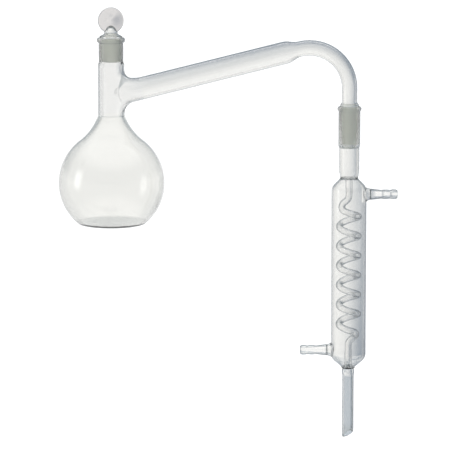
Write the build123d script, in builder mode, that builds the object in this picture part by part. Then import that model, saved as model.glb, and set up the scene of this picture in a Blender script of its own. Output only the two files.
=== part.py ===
from build123d import *
import os
from math import asin, ceil, cos, degrees, pi, radians, sin, sqrt, tan

# Distillation apparatus of clear borosilicate glass, in millimetres: a flat-bottomed distilling
# flask with a side arm, its hollow stopper, and a coil condenser that hangs on the arm's cone.
# The origin is the centre of the flask's base. +X points along the side arm and +Z up.

# Flask bulb
BULB_DIAMETER = 106.0
BULB_CENTRE_HEIGHT = 41.5
BULB_WALL = 1.6
BASE_THICKNESS = 2.6
BASE_CORNER_WIDTH = 2.6
SHOULDER_ANGLE = 53.0
SEAL_HEIGHT = 110.0

# Flask neck, and the root of the side arm that is blown into it
NECK_OD = 26.6
NECK_ID = 20.0
NECK_LENGTH = 52.3
NECK_RIM_WIDTH = 1.0
ROOT_LENGTH = 31.0
ROOT_BLEND_RADIUS = 9.0

# Stopper socket and stopper. Ground joints taper one in ten on the diameter.
GROUND_TAPER = 0.1
GROUND_CLEARANCE = 0.05
STOPPER_MOUTH_DIAMETER = 22.5
STOPPER_SOCKET_OD = 24.6
STOPPER_SOCKET_LENGTH = 24.7
STOPPER_BEAD_DIAMETER = 28.4
STOPPER_BEAD_HEIGHT = 5.3
PLUG_DEPTH = 24.2
PLUG_WALL = 1.8
PLUG_FOOT_WIDTH = 2.0
PLUG_SHOULDER_DIAMETER = 22.8
PLUG_SHOULDER_HEIGHT = 1.2
WAIST_DIAMETER = 13.8
WAIST_RISE = 5.5
GRIP_DIAMETER = 25.6
GRIP_RISE = 17.0
GRIP_THICKNESS = 8.0
GRIP_RIM_WIDTH = 1.6
GRIP_FACE_DIAMETER = 19.0
GRIP_DISH_DEPTH = 1.2

# Side arm: a straight tube, a reducer and a bend. Its axis leaves the neck's above the seal.
ARM_RISE = 18.7
ARM_SLOPE = 14.0
ARM_OD = 22.5
ARM_WALL = 1.6
ARM_LENGTH = 178.0
REDUCER_LENGTH = 15.0
BEND_OD = 15.6
BEND_WALL = 1.5
BEND_RADIUS = 40.0

# Ground joint between the arm's cone and the condenser's socket
JOINT_LARGE_DIAMETER = 18.8
JOINT_GROUND_LENGTH = 38.0
CONE_STEM_LENGTH = 14.6
CONE_FLARE_LENGTH = 2.2
CONE_COLLAR_LENGTH = 0.8
CONE_TIP_LENGTH = 4.3
CONE_TIP_STEP = 0.15
CONE_WALL = 1.7
JOINT_SOCKET_OD = 21.9
JOINT_BEAD_DIAMETER = 24.1
JOINT_BEAD_HEIGHT = 4.5
JOINT_RUNOUT_LENGTH = 3.5

# Condenser head and ring seals
HEAD_OD = 20.5
HEAD_WALL = 1.7
HEAD_LENGTH = 29.6
HEAD_TAPER_LENGTH = 8.0
HEAD_FOOT_DIAMETER = 18.2
HEAD_FLOOR_THICKNESS = 2.0
HEAD_FLOOR_WIDTH = 2.2
UPPER_SEAL_DIAMETER = 19.4
LOWER_SEAL_DIAMETER = 14.4
SEAL_THICKNESS = 1.8
SEAL_EDGE_WIDTH = 0.5

# Water jacket and its side stubs
JACKET_OD = 35.3
JACKET_WALL = 1.6
JACKET_LENGTH = 190.3
JACKET_TOP_SLOPE = 45.0
JACKET_BOTTOM_SLOPE = 41.5
JACKET_CORNER_RADIUS = 10.0
OUTLET_DROP = 15.3
INLET_RISE = 16.9
STUB_REACH = 21.0
STUB_BASE_DIAMETER = 13.7
STUB_ROOT_DEPTH = 4.0

# Hose nipples, measured along their own axes from the stub's seal
NIPPLE_BASE_OD = 11.4
NIPPLE_BASE_WALL = 1.6
NIPPLE_NECK_OD = 8.7
NIPPLE_TAPER_LENGTH = 11.5
NIPPLE_RIDGE_OD = 9.6
NIPPLE_RIDGE_LENGTH = 8.5
NIPPLE_BEAD_OD = 9.9
NIPPLE_BEAD_RISE = 2.2
NIPPLE_BEAD_LAND = 3.2
NIPPLE_NOSE_LENGTH = 2.0
NIPPLE_TIP_OD = 8.0
NIPPLE_TIP_BORE = 5.4

# Coil of the condenser and its two straight stems. The coil winds down from one stem to the other.
STEM_OD = 7.2
STEM_BORE = 4.8
INLET_STEM_LENGTH = 9.4
OUTLET_STEM_LENGTH = 15.1
TRUMPET_DIAMETER = 9.2
TRUMPET_LENGTH = 4.0
COIL_TUBE_OD = 6.8
COIL_RADIUS = 9.5
COIL_PITCH = 19.8
ARCS_PER_TURN = 4
COIL_START_PHASE = 249.0
LEAD_DROP = 15.5
LEAD_TURN_RADIUS = 3.5
LEAD_TURN_PHASE = 181.0
LEAD_TURN_DROP = 6.3
LEAD_HEADING = 189.0
LEAD_PITCH = 32.0
GAP_POINTS_PER_ARC = 48

# Drip tube
DRIP_OD = 11.6
DRIP_BORE = 8.6
DRIP_LENGTH = 70.0
DRIP_SWELL_DIAMETER = 12.8
DRIP_SWELL_LENGTH = 7.2
DRIP_CUT_ANGLE = 29.0
DRIP_CUT_PHASE = 205.0

# Even bands in the round stretches of turned outlines, and sides of the bent tubes
LOWER_BULB_BANDS = 3
UPPER_BULB_BANDS = 4
SHOULDER_BANDS = 3
CORNER_BANDS = 2
BEAD_BANDS = 4
DOME_BANDS = 3
COIL_SIDES = 8
BEND_SIDES = 12
BEND_BORE_SIDES = 8

# The arm's route, and the section planes and axes that the pieces are turned about
arm_direction = Vector(cos(radians(ARM_SLOPE)), 0, sin(radians(ARM_SLOPE)))
arm_up = Vector(-arm_direction.Z, 0, arm_direction.X)
arm_start = Vector(0, 0, SEAL_HEIGHT + ARM_RISE)
arm_axis = Axis(arm_start, arm_direction)
arm_section = Plane(origin=arm_start, x_dir=arm_direction, z_dir=(0, -1, 0))
bend_start = arm_start + arm_direction * (ARM_LENGTH + REDUCER_LENGTH)
bend_centre = bend_start - arm_up * BEND_RADIUS
bend_angle = 90 + ARM_SLOPE
drop_x = bend_centre.X + BEND_RADIUS
drop_axis = Axis((drop_x, 0, 0), (0, 0, 1))
drop_section = Plane(origin=(drop_x, 0, 0), x_dir=(1, 0, 0), z_dir=(0, -1, 0))

# Heights that pieces share
neck_top = SEAL_HEIGHT + NECK_LENGTH
stopper_rim = neck_top + STOPPER_SOCKET_LENGTH
cone_top = bend_centre.Z - CONE_STEM_LENGTH - CONE_FLARE_LENGTH - CONE_COLLAR_LENGTH
socket_rim = cone_top - 2 * GROUND_CLEARANCE / GROUND_TAPER
socket_foot = socket_rim - JOINT_GROUND_LENGTH - JOINT_RUNOUT_LENGTH
head_foot = socket_foot - HEAD_LENGTH
jacket_top = head_foot - SEAL_THICKNESS
jacket_foot = jacket_top - JACKET_LENGTH
coil_top = jacket_top - INLET_STEM_LENGTH
drip_top = jacket_foot - SEAL_THICKNESS


def ground_radius(large_diameter, depth):
    """Radius of a ground joint at a depth below its large end."""
    return (large_diameter - GROUND_TAPER * depth) / 2


def banded(curve, bands):
    """Chords along a curve, which turn into even conical bands."""
    return Polyline([curve @ (band / bands) for band in range(bands + 1)])


# Flask bulb: a sphere on a flat base, with a shoulder that sweeps up to the neck's seal line
bulb_radius = BULB_DIAMETER / 2
bulb_inner_radius = bulb_radius - BULB_WALL
base_radius = sqrt(bulb_radius**2 - BULB_CENTRE_HEIGHT**2)
floor_radius = sqrt(bulb_inner_radius**2 - (BULB_CENTRE_HEIGHT - BASE_THICKNESS) ** 2)
shoulder_direction = (-sin(radians(SHOULDER_ANGLE)), cos(radians(SHOULDER_ANGLE)))


def bulb_side(radius, foot_height):
    """Side of the bulb: from the foot's height up to its widest line, and on to the shoulder."""
    foot_angle = degrees(asin((BULB_CENTRE_HEIGHT - foot_height) / radius))
    middle = (0, BULB_CENTRE_HEIGHT)
    lower = CenterArc(middle, radius, -foot_angle, foot_angle, mode=Mode.PRIVATE)
    upper = CenterArc(middle, radius, 0, SHOULDER_ANGLE, mode=Mode.PRIVATE)
    return banded(lower, LOWER_BULB_BANDS), banded(upper, UPPER_BULB_BANDS)


def shoulder_arc(side, neck_radius):
    """Hollow curve from the top of a side up to the neck's seal line."""
    neck_foot = (neck_radius, SEAL_HEIGHT)
    return TangentArc(side @ 1, neck_foot, tangent=shoulder_direction, mode=Mode.PRIVATE)


with BuildPart() as flask_bulb:
    with BuildSketch(Plane.XZ) as bulb_outline:
        with BuildLine():
            outer_foot, outer_side = bulb_side(bulb_radius, 0)
            inner_foot, inner_side = bulb_side(bulb_inner_radius, BASE_THICKNESS)
            banded(shoulder_arc(outer_side, NECK_OD / 2), SHOULDER_BANDS)
            banded(shoulder_arc(inner_side, NECK_ID / 2), SHOULDER_BANDS)
            Line((NECK_OD / 2, SEAL_HEIGHT), (NECK_ID / 2, SEAL_HEIGHT))
            Polyline(outer_foot @ 0, (0, 0), (0, BASE_THICKNESS), inner_foot @ 0)
        make_face()
        base_corner = bulb_outline.vertices().sort_by_distance((base_radius, 0))[0]
        floor_corner = bulb_outline.vertices().sort_by_distance((floor_radius, BASE_THICKNESS))[0]
        chamfer([base_corner, floor_corner], BASE_CORNER_WIDTH)
    revolve(axis=Axis.Z)

# Flask neck: the side arm's root is blown out of it, with a round hollow all the way about, and
# the rim is drawn in to the stopper socket
with BuildPart() as flask_neck:
    with BuildSketch(Plane.XY.offset(SEAL_HEIGHT)):
        Circle(NECK_OD / 2)
    extrude(amount=NECK_LENGTH)
    with BuildSketch(Plane(origin=arm_start, z_dir=arm_direction)):
        Circle(ARM_OD / 2)
    extrude(amount=ROOT_LENGTH)
    plain = (GeomType.CIRCLE, GeomType.LINE)
    saddle = [edge for edge in flask_neck.edges() if edge.geom_type not in plain]
    fillet(saddle, ROOT_BLEND_RADIUS)
    neck_rim = flask_neck.edges().filter_by(GeomType.CIRCLE).sort_by(Axis.Z)[-1]
    chamfer(neck_rim, NECK_RIM_WIDTH)
    with BuildSketch(Plane.XY.offset(SEAL_HEIGHT)):
        Circle(NECK_ID / 2)
    extrude(amount=NECK_LENGTH, mode=Mode.SUBTRACT)
    with BuildSketch(Plane(origin=arm_start, z_dir=arm_direction)):
        Circle(ARM_OD / 2 - ARM_WALL)
    extrude(amount=ROOT_LENGTH, mode=Mode.SUBTRACT)

# Stopper socket: a ground bore in a tube with a beaded rim
bead_foot = stopper_rim - STOPPER_BEAD_HEIGHT
bead_middle = stopper_rim - STOPPER_BEAD_HEIGHT / 2
with BuildPart() as stopper_socket:
    with BuildSketch(Plane.XZ):
        with BuildLine():
            bead = ThreePointArc(
                (STOPPER_SOCKET_OD / 2, bead_foot),
                (STOPPER_BEAD_DIAMETER / 2, bead_middle),
                (STOPPER_SOCKET_OD / 2, stopper_rim),
                mode=Mode.PRIVATE,
            )
            banded(bead, BEAD_BANDS)
            Polyline(
                (STOPPER_SOCKET_OD / 2, stopper_rim),
                (STOPPER_MOUTH_DIAMETER / 2, stopper_rim),
                (ground_radius(STOPPER_MOUTH_DIAMETER, STOPPER_SOCKET_LENGTH), neck_top),
                (STOPPER_SOCKET_OD / 2, neck_top),
                (STOPPER_SOCKET_OD / 2, bead_foot),
            )
        make_face()
    revolve(axis=Axis.Z)

# Stopper plug: hollow and closed, ground to the socket, with a domed top that carries the grip
waist_height = stopper_rim + WAIST_RISE
waist_radius = WAIST_DIAMETER / 2
shoulder_top = stopper_rim + PLUG_SHOULDER_HEIGHT
plug_foot = stopper_rim - PLUG_DEPTH


def plug_radius(height):
    """Outer radius of the ground plug at a height, a clearance inside its socket."""
    return ground_radius(STOPPER_MOUTH_DIAMETER, stopper_rim - height) - GROUND_CLEARANCE


def dome_arc(radius):
    """Quarter circle over the plug's waist."""
    return CenterArc((0, waist_height), radius, 0, 90, mode=Mode.PRIVATE)


with BuildPart() as stopper_plug:
    with BuildSketch(Plane.XZ) as plug_outline:
        with BuildLine():
            foot = Polyline(
                (0, plug_foot),
                (plug_radius(plug_foot) - PLUG_FOOT_WIDTH, plug_foot),
                (plug_radius(plug_foot + PLUG_FOOT_WIDTH), plug_foot + PLUG_FOOT_WIDTH),
                (plug_radius(stopper_rim), stopper_rim),
            )
            Polyline(
                foot @ 1,
                (PLUG_SHOULDER_DIAMETER / 2, stopper_rim + GROUND_CLEARANCE),
                (PLUG_SHOULDER_DIAMETER / 2, shoulder_top),
            )
            neck_sweep = TangentArc(
                (waist_radius, waist_height),
                (PLUG_SHOULDER_DIAMETER / 2, shoulder_top),
                tangent=(0, -1),
                mode=Mode.PRIVATE,
            )
            banded(neck_sweep, CORNER_BANDS)
            dome = banded(dome_arc(waist_radius), DOME_BANDS)
            Line(dome @ 1, foot @ 0)
        make_face()
        with BuildLine():
            cavity_foot = plug_foot + PLUG_WALL
            cavity = Polyline(
                (0, cavity_foot),
                (plug_radius(cavity_foot) - PLUG_WALL, cavity_foot),
                (plug_radius(stopper_rim) - PLUG_WALL, stopper_rim),
                (waist_radius - PLUG_WALL, shoulder_top + PLUG_WALL),
                (waist_radius - PLUG_WALL, waist_height),
            )
            cavity_dome = banded(dome_arc(waist_radius - PLUG_WALL), DOME_BANDS)
            Line(cavity_dome @ 1, cavity @ 0)
        make_face(mode=Mode.SUBTRACT)
    revolve(axis=Axis.Z)

# Stopper grip: an upright disc, dished on both faces, fused over the plug's dome
grip_height = stopper_rim + GRIP_RISE
face_y = GRIP_THICKNESS / 2
rim_x = GRIP_DIAMETER / 2
with BuildPart() as stopper_grip:
    with BuildSketch(Plane.XY.offset(grip_height)):
        with BuildLine():
            dish_middle = (0, GRIP_DISH_DEPTH - face_y)
            dish_edge = (GRIP_FACE_DIAMETER / 2, -face_y)
            rim_start = (rim_x - GRIP_RIM_WIDTH, -face_y)
            rim_end = (rim_x, GRIP_RIM_WIDTH - face_y)
            banded(TangentArc(dish_middle, dish_edge, tangent=(1, 0), mode=Mode.PRIVATE), CORNER_BANDS)
            Polyline(dish_edge, rim_start, rim_end, (rim_x, 0))
            mirror(about=Plane.XZ)
            Line(dish_middle, (0, face_y - GRIP_DISH_DEPTH))
        make_face()
    revolve(axis=Axis((0, 0, grip_height), (0, 1, 0)))
    with BuildSketch(Plane.XZ):
        with BuildLine():
            dome = banded(dome_arc(waist_radius), DOME_BANDS)
            Polyline(dome @ 0, (waist_radius, stopper_rim), (0, stopper_rim), dome @ 1)
        make_face()
    revolve(axis=Axis.Z, mode=Mode.SUBTRACT)

# Side arm: the straight tube, from the neck's root to the reducer
with BuildPart() as side_arm:
    with BuildSketch(Plane(origin=arm_start + arm_direction * ROOT_LENGTH, z_dir=arm_direction)):
        Circle(ARM_OD / 2)
        Circle(ARM_OD / 2 - ARM_WALL, mode=Mode.SUBTRACT)
    extrude(amount=ARM_LENGTH - ROOT_LENGTH)


def reducing_line(start, end):
    """S-shaped line that leaves and arrives along the tube, from one radius to another."""
    middle = ((start[0] + end[0]) / 2, (start[1] + end[1]) / 2)
    banded(TangentArc(start, middle, tangent=(1, 0), mode=Mode.PRIVATE), CORNER_BANDS)
    banded(TangentArc(end, middle, tangent=(-1, 0), mode=Mode.PRIVATE), CORNER_BANDS)


# Arm reducer: the wide tube is drawn down to the narrow one
reducer_end = ARM_LENGTH + REDUCER_LENGTH
with BuildPart() as arm_reducer:
    with BuildSketch(arm_section):
        with BuildLine():
            reducing_line((ARM_LENGTH, ARM_OD / 2), (reducer_end, BEND_OD / 2))
            reducing_line(
                (ARM_LENGTH, ARM_OD / 2 - ARM_WALL), (reducer_end, BEND_OD / 2 - BEND_WALL)
            )
            Line((ARM_LENGTH, ARM_OD / 2), (ARM_LENGTH, ARM_OD / 2 - ARM_WALL))
            Line((reducer_end, BEND_OD / 2), (reducer_end, BEND_OD / 2 - BEND_WALL))
        make_face()
    revolve(axis=arm_axis)

# Arm bend: the narrow tube turns over and points straight down
with BuildPart() as arm_bend:
    with BuildSketch(Plane(origin=bend_start, x_dir=(0, 1, 0), z_dir=arm_direction)):
        RegularPolygon(BEND_OD / 2, BEND_SIDES, rotation=180 / BEND_SIDES)
        RegularPolygon(
            BEND_OD / 2 - BEND_WALL,
            BEND_BORE_SIDES,
            rotation=180 / BEND_BORE_SIDES,
            mode=Mode.SUBTRACT,
        )
    revolve(axis=Axis(bend_centre, (0, 1, 0)), revolution_arc=bend_angle)

# Drip cone: a stem, a collar and the ground cone with a plain tip
cone_foot = cone_top - JOINT_GROUND_LENGTH
cone_tip = cone_foot - CONE_TIP_LENGTH
cone_large_radius = JOINT_LARGE_DIAMETER / 2
cone_small_radius = ground_radius(JOINT_LARGE_DIAMETER, JOINT_GROUND_LENGTH)
cone_tip_radius = cone_small_radius - CONE_TIP_STEP
stem_foot = bend_centre.Z - CONE_STEM_LENGTH
with BuildPart() as drip_cone:
    with BuildSketch(drop_section):
        with BuildLine():
            Polyline(
                (BEND_OD / 2 - BEND_WALL, bend_centre.Z),
                (BEND_OD / 2, bend_centre.Z),
                (BEND_OD / 2, stem_foot),
                (cone_large_radius, stem_foot - CONE_FLARE_LENGTH),
                (cone_large_radius, cone_top),
                (cone_small_radius, cone_foot),
                (cone_tip_radius, cone_foot),
                (cone_tip_radius, cone_tip),
                (cone_tip_radius - CONE_WALL, cone_tip),
                (cone_small_radius - CONE_WALL, cone_foot),
                (cone_large_radius - CONE_WALL, cone_top),
                (BEND_OD / 2 - BEND_WALL, stem_foot),
                close=True,
            )
        make_face()
    revolve(axis=drop_axis)

# Condenser socket: takes the cone, and opens below it into the head's bore
head_bore = HEAD_OD / 2 - HEAD_WALL
rim_bead_foot = socket_rim - JOINT_BEAD_HEIGHT
with BuildPart() as condenser_socket:
    with BuildSketch(drop_section):
        with BuildLine():
            bead = ThreePointArc(
                (JOINT_SOCKET_OD / 2, rim_bead_foot),
                (JOINT_BEAD_DIAMETER / 2, (rim_bead_foot + socket_rim) / 2),
                (JOINT_SOCKET_OD / 2, socket_rim),
                mode=Mode.PRIVATE,
            )
            banded(bead, BEAD_BANDS)
            Polyline(
                (JOINT_SOCKET_OD / 2, socket_rim),
                (cone_large_radius, socket_rim),
                (cone_small_radius, socket_rim - JOINT_GROUND_LENGTH),
                (head_bore, socket_foot),
                (HEAD_OD / 2, socket_foot),
                (JOINT_SOCKET_OD / 2, socket_foot + JOINT_RUNOUT_LENGTH / 2),
                (JOINT_SOCKET_OD / 2, rim_bead_foot),
            )
        make_face()
    revolve(axis=drop_axis)

# Condenser head: a tube drawn in at its foot, with a rounded floor that opens into the coil's stem
taper_top = head_foot + HEAD_TAPER_LENGTH
floor_height = head_foot + HEAD_FLOOR_THICKNESS
with BuildPart() as condenser_head:
    with BuildSketch(drop_section) as head_outline:
        with BuildLine():
            Polyline(
                (head_bore, socket_foot),
                (HEAD_OD / 2, socket_foot),
                (HEAD_OD / 2, taper_top),
                (HEAD_FOOT_DIAMETER / 2, head_foot),
                (STEM_BORE / 2, head_foot),
                (STEM_BORE / 2, floor_height),
                (HEAD_FOOT_DIAMETER / 2 - HEAD_WALL, floor_height),
                (head_bore, taper_top),
                close=True,
            )
        make_face()
        floor_edge = head_outline.vertices().sort_by_distance(
            (HEAD_FOOT_DIAMETER / 2 - HEAD_WALL, floor_height)
        )[0]
        chamfer(floor_edge, HEAD_FLOOR_WIDTH)
    revolve(axis=drop_axis)

# Upper ring seal: joins the head, the jacket and the coil's inlet stem
with BuildPart() as upper_ring_seal:
    with BuildSketch(drop_section):
        with BuildLine():
            Polyline(
                (STEM_BORE / 2, jacket_top),
                (UPPER_SEAL_DIAMETER / 2, jacket_top),
                (UPPER_SEAL_DIAMETER / 2, head_foot - SEAL_EDGE_WIDTH),
                (UPPER_SEAL_DIAMETER / 2 - SEAL_EDGE_WIDTH, head_foot),
                (STEM_BORE / 2, head_foot),
                close=True,
            )
        make_face()
    revolve(axis=drop_axis)


def jacket_line(radius, top_radius, foot_radius, corner_radius):
    """Side of the jacket at a radius, with its two sloping ends and rounded corners."""
    top_corner = jacket_top - (radius - top_radius) * tan(radians(JACKET_TOP_SLOPE))
    foot_corner = jacket_foot + (radius - foot_radius) * tan(radians(JACKET_BOTTOM_SLOPE))
    side = FilletPolyline(
        (top_radius, jacket_top),
        (radius, top_corner),
        (radius, foot_corner),
        (foot_radius, jacket_foot),
        radius=corner_radius,
        mode=Mode.PRIVATE,
    )
    corners = side.edges().filter_by(GeomType.CIRCLE).sort_by(Axis.Y, reverse=True)
    steps = [band / CORNER_BANDS for band in range(CORNER_BANDS + 1)]
    top_steps, foot_steps = [[corner @ step for step in steps] for corner in corners]
    return Polyline(side @ 0, *top_steps, *foot_steps, side @ 1)


def port_plane(side, height):
    """Section plane of a hose port: local X runs out from the jacket's axis, local Y up."""
    return Plane(origin=(drop_x, 0, height), x_dir=(side, 0, 0), z_dir=(0, -side, 0))


outlet_port = port_plane(1, jacket_top - OUTLET_DROP)
inlet_port = port_plane(-1, jacket_foot + INLET_RISE)
port_bore = NIPPLE_BASE_OD / 2 - NIPPLE_BASE_WALL

# Water jacket: a drawn tube with a flared stub for each hose nipple
jacket_radius = JACKET_OD / 2
stub_root = jacket_radius - STUB_ROOT_DEPTH
top_radius = UPPER_SEAL_DIAMETER / 2
foot_radius = LOWER_SEAL_DIAMETER / 2
top_wall = JACKET_WALL / sin(radians(JACKET_TOP_SLOPE))
foot_wall = JACKET_WALL / sin(radians(JACKET_BOTTOM_SLOPE))
with BuildPart() as water_jacket:
    with BuildSketch(drop_section):
        with BuildLine():
            outside = jacket_line(jacket_radius, top_radius, foot_radius, JACKET_CORNER_RADIUS)
            Polyline(outside @ 0, (0, jacket_top), (0, jacket_foot), outside @ 1)
        make_face()
    revolve(axis=drop_axis)
    for port in (outlet_port, inlet_port):
        with BuildSketch(port):
            with BuildLine():
                stub_end = (STUB_REACH, NIPPLE_BASE_OD / 2)
                flare_root = (stub_root, STUB_BASE_DIAMETER / 2)
                Polyline(flare_root, (stub_root, 0), (STUB_REACH, 0), stub_end)
                banded(TangentArc(stub_end, flare_root, tangent=(-1, 0), mode=Mode.PRIVATE), CORNER_BANDS)
            make_face()
        revolve(axis=Axis(port.origin, port.x_dir))
    with BuildSketch(drop_section):
        with BuildLine():
            inside = jacket_line(
                jacket_radius - JACKET_WALL,
                top_radius - top_wall,
                foot_radius - foot_wall,
                JACKET_CORNER_RADIUS - JACKET_WALL,
            )
            Polyline(inside @ 0, (0, jacket_top), (0, jacket_foot), inside @ 1)
        make_face()
    revolve(axis=drop_axis, mode=Mode.SUBTRACT)
    for port in (outlet_port, inlet_port):
        with BuildSketch(Plane(origin=port.origin, z_dir=port.x_dir)):
            Circle(port_bore)
        extrude(amount=STUB_REACH, mode=Mode.SUBTRACT)


def hose_nipple(port):
    """Tapered nipple with a low ridge and an end bead, turned about its port's axis."""
    ridge_start = STUB_REACH + NIPPLE_TAPER_LENGTH
    ridge_end = ridge_start + NIPPLE_RIDGE_LENGTH
    bead_start = ridge_end + NIPPLE_BEAD_RISE
    bead_end = bead_start + NIPPLE_BEAD_LAND
    tip = bead_end + NIPPLE_NOSE_LENGTH
    with BuildPart() as nipple:
        with BuildSketch(port):
            with BuildLine():
                Line((STUB_REACH, NIPPLE_BASE_OD / 2), (ridge_start, NIPPLE_NECK_OD / 2))
                ridge = ThreePointArc(
                    (ridge_start, NIPPLE_NECK_OD / 2),
                    ((ridge_start + ridge_end) / 2, NIPPLE_RIDGE_OD / 2),
                    (ridge_end, NIPPLE_NECK_OD / 2),
                    mode=Mode.PRIVATE,
                )
                banded(ridge, BEAD_BANDS)
                Polyline(
                    (ridge_end, NIPPLE_NECK_OD / 2),
                    (bead_start, NIPPLE_BEAD_OD / 2),
                    (bead_end, NIPPLE_BEAD_OD / 2),
                )
                Polyline(
                    (bead_end, NIPPLE_BEAD_OD / 2),
                    (tip, NIPPLE_TIP_OD / 2),
                    (tip, NIPPLE_TIP_BORE / 2),
                    (bead_start, NIPPLE_TIP_BORE / 2),
                    (STUB_REACH, port_bore),
                    (STUB_REACH, NIPPLE_BASE_OD / 2),
                )
            make_face()
        revolve(axis=Axis(port.origin, port.x_dir))
    return nipple


water_outlet = hose_nipple(outlet_port)
water_inlet = hose_nipple(inlet_port)

# The coil's route: a left-handed helix, led in from the axis and out to it again. The way out
# is the way in, turned half over about the radial line through the coil's middle.
coil_foot = jacket_foot + OUTLET_STEM_LENGTH
coil_start_height = coil_top - COIL_TUBE_OD - LEAD_DROP
coil_end_height = coil_foot + COIL_TUBE_OD + LEAD_DROP
coil_middle_height = (coil_start_height + coil_end_height) / 2
coil_turns = (coil_start_height - coil_end_height) / COIL_PITCH
coil_middle_phase = COIL_START_PHASE + coil_turns * 180


def polar(radius, phase, height):
    """Point at a radius and a phase in degrees about the condenser's axis."""
    return Vector(drop_x + radius * cos(radians(phase)), radius * sin(radians(phase)), height)


def helix_station(phase):
    """Point and direction of the helix at a phase."""
    drop = COIL_PITCH * (phase - COIL_START_PHASE) / 360
    slope = COIL_PITCH / (2 * pi * COIL_RADIUS)
    heading = Vector(-sin(radians(phase)), cos(radians(phase)), -slope).normalized()
    return polar(COIL_RADIUS, phase, coil_start_height - drop), heading


def turned_over(station):
    """A station of the way in, carried to the way out and faced along it."""
    point, heading = station
    across = radians(2 * coil_middle_phase)
    x = point.X - drop_x
    turned_point = Vector(
        drop_x + x * cos(across) + point.Y * sin(across),
        x * sin(across) - point.Y * cos(across),
        2 * coil_middle_height - point.Z,
    )
    turned_heading = Vector(
        heading.X * cos(across) + heading.Y * sin(across),
        heading.X * sin(across) - heading.Y * cos(across),
        -heading.Z,
    )
    return turned_point, turned_heading * -1


def biarc_joint(start, end):
    """Point where the two tangent arcs between two stations meet."""
    (p0, t0), (p1, t1) = start, end
    chord = p1 - p0
    turn = t0 + t1
    bend = 2 * (1 - t0.dot(t1))
    reach = (sqrt(chord.dot(turn) ** 2 + bend * chord.dot(chord)) - chord.dot(turn)) / bend
    return (p0 + p1 + (t0 - t1) * reach) * 0.5


lead_start = (polar(0, 0, coil_top - COIL_TUBE_OD), Vector(0, 0, -1))
lead_turn = (
    polar(LEAD_TURN_RADIUS, LEAD_TURN_PHASE, coil_top - COIL_TUBE_OD - LEAD_TURN_DROP),
    Vector(
        cos(radians(LEAD_PITCH)) * cos(radians(LEAD_HEADING)),
        cos(radians(LEAD_PITCH)) * sin(radians(LEAD_HEADING)),
        -sin(radians(LEAD_PITCH)),
    ),
)
arc_count = ceil(coil_turns * ARCS_PER_TURN)
arc_phase = 360 * coil_turns / arc_count
stations = [lead_start, lead_turn]
stations += [helix_station(COIL_START_PHASE + arc_phase * step) for step in range(arc_count + 1)]
stations += [turned_over(lead_turn), turned_over(lead_start)]

# Condenser coil: one unbroken tube, with a straight tube's diameter at each end. Its outside and
# its bore are swept one by one, and joined by a ring at either end into one skin.
with BuildLine() as coil_route:
    Line(polar(0, 0, coil_top), lead_start[0])
    for start, end in zip(stations, stations[1:]):
        middle = biarc_joint(start, end)
        first_arc = TangentArc(start[0], middle, tangent=start[1])
        TangentArc(middle, end[0], tangent=first_arc % 1)
    Line(stations[-1][0], polar(0, 0, coil_foot))


def coil_skin(diameter):
    """The route swept with a section of that diameter: its sides, and its two flat ends."""
    with BuildPart() as swept:
        with BuildSketch(Plane(origin=(drop_x, 0, coil_top), z_dir=(0, 0, -1))):
            RegularPolygon(diameter / 2, COIL_SIDES, rotation=180 / COIL_SIDES)
        sweep(path=coil_route.wire(), clean=False)
    ends = swept.faces().filter_by(GeomType.PLANE).filter_by(Axis.Z).sort_by(Axis.Z)
    return [face for face in swept.faces() if face not in ends], ends


outer_sides, outer_ends = coil_skin(COIL_TUBE_OD)
bore_sides, bore_ends = coil_skin(STEM_BORE)
end_rings = [
    Face(outer.outer_wire(), [bore.outer_wire()]) for outer, bore in zip(outer_ends, bore_ends)
]
with BuildPart() as condenser_coil:
    add(Solid(Shell([*outer_sides, *bore_sides, *end_rings])), clean=False)

# Coil inlet stem: straight tube between the upper ring seal and the coil
with BuildPart() as coil_inlet_stem:
    with BuildSketch(Plane(origin=(drop_x, 0, coil_top))):
        Circle(STEM_OD / 2)
        Circle(STEM_BORE / 2, mode=Mode.SUBTRACT)
    extrude(amount=INLET_STEM_LENGTH)

# Coil outlet stem: straight tube with a trumpet end on the lower ring seal
with BuildPart() as coil_outlet_stem:
    with BuildSketch(drop_section):
        with BuildLine():
            trumpet_top = jacket_foot + TRUMPET_LENGTH
            Polyline(
                (TRUMPET_DIAMETER / 2, jacket_foot),
                (STEM_BORE / 2, jacket_foot),
                (STEM_BORE / 2, coil_foot),
                (STEM_OD / 2, coil_foot),
                (STEM_OD / 2, trumpet_top),
                close=True,
            )
        make_face()
    revolve(axis=drop_axis)

# Lower ring seal: joins the jacket, the outlet stem and the drip tube
with BuildPart() as lower_ring_seal:
    with BuildSketch(drop_section):
        with BuildLine():
            Polyline(
                (STEM_BORE / 2, jacket_foot),
                (LOWER_SEAL_DIAMETER / 2, jacket_foot),
                (LOWER_SEAL_DIAMETER / 2, drip_top + SEAL_EDGE_WIDTH),
                (LOWER_SEAL_DIAMETER / 2 - SEAL_EDGE_WIDTH, drip_top),
                (DRIP_BORE / 2, drip_top),
                close=True,
            )
        make_face()
    revolve(axis=drop_axis)

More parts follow.
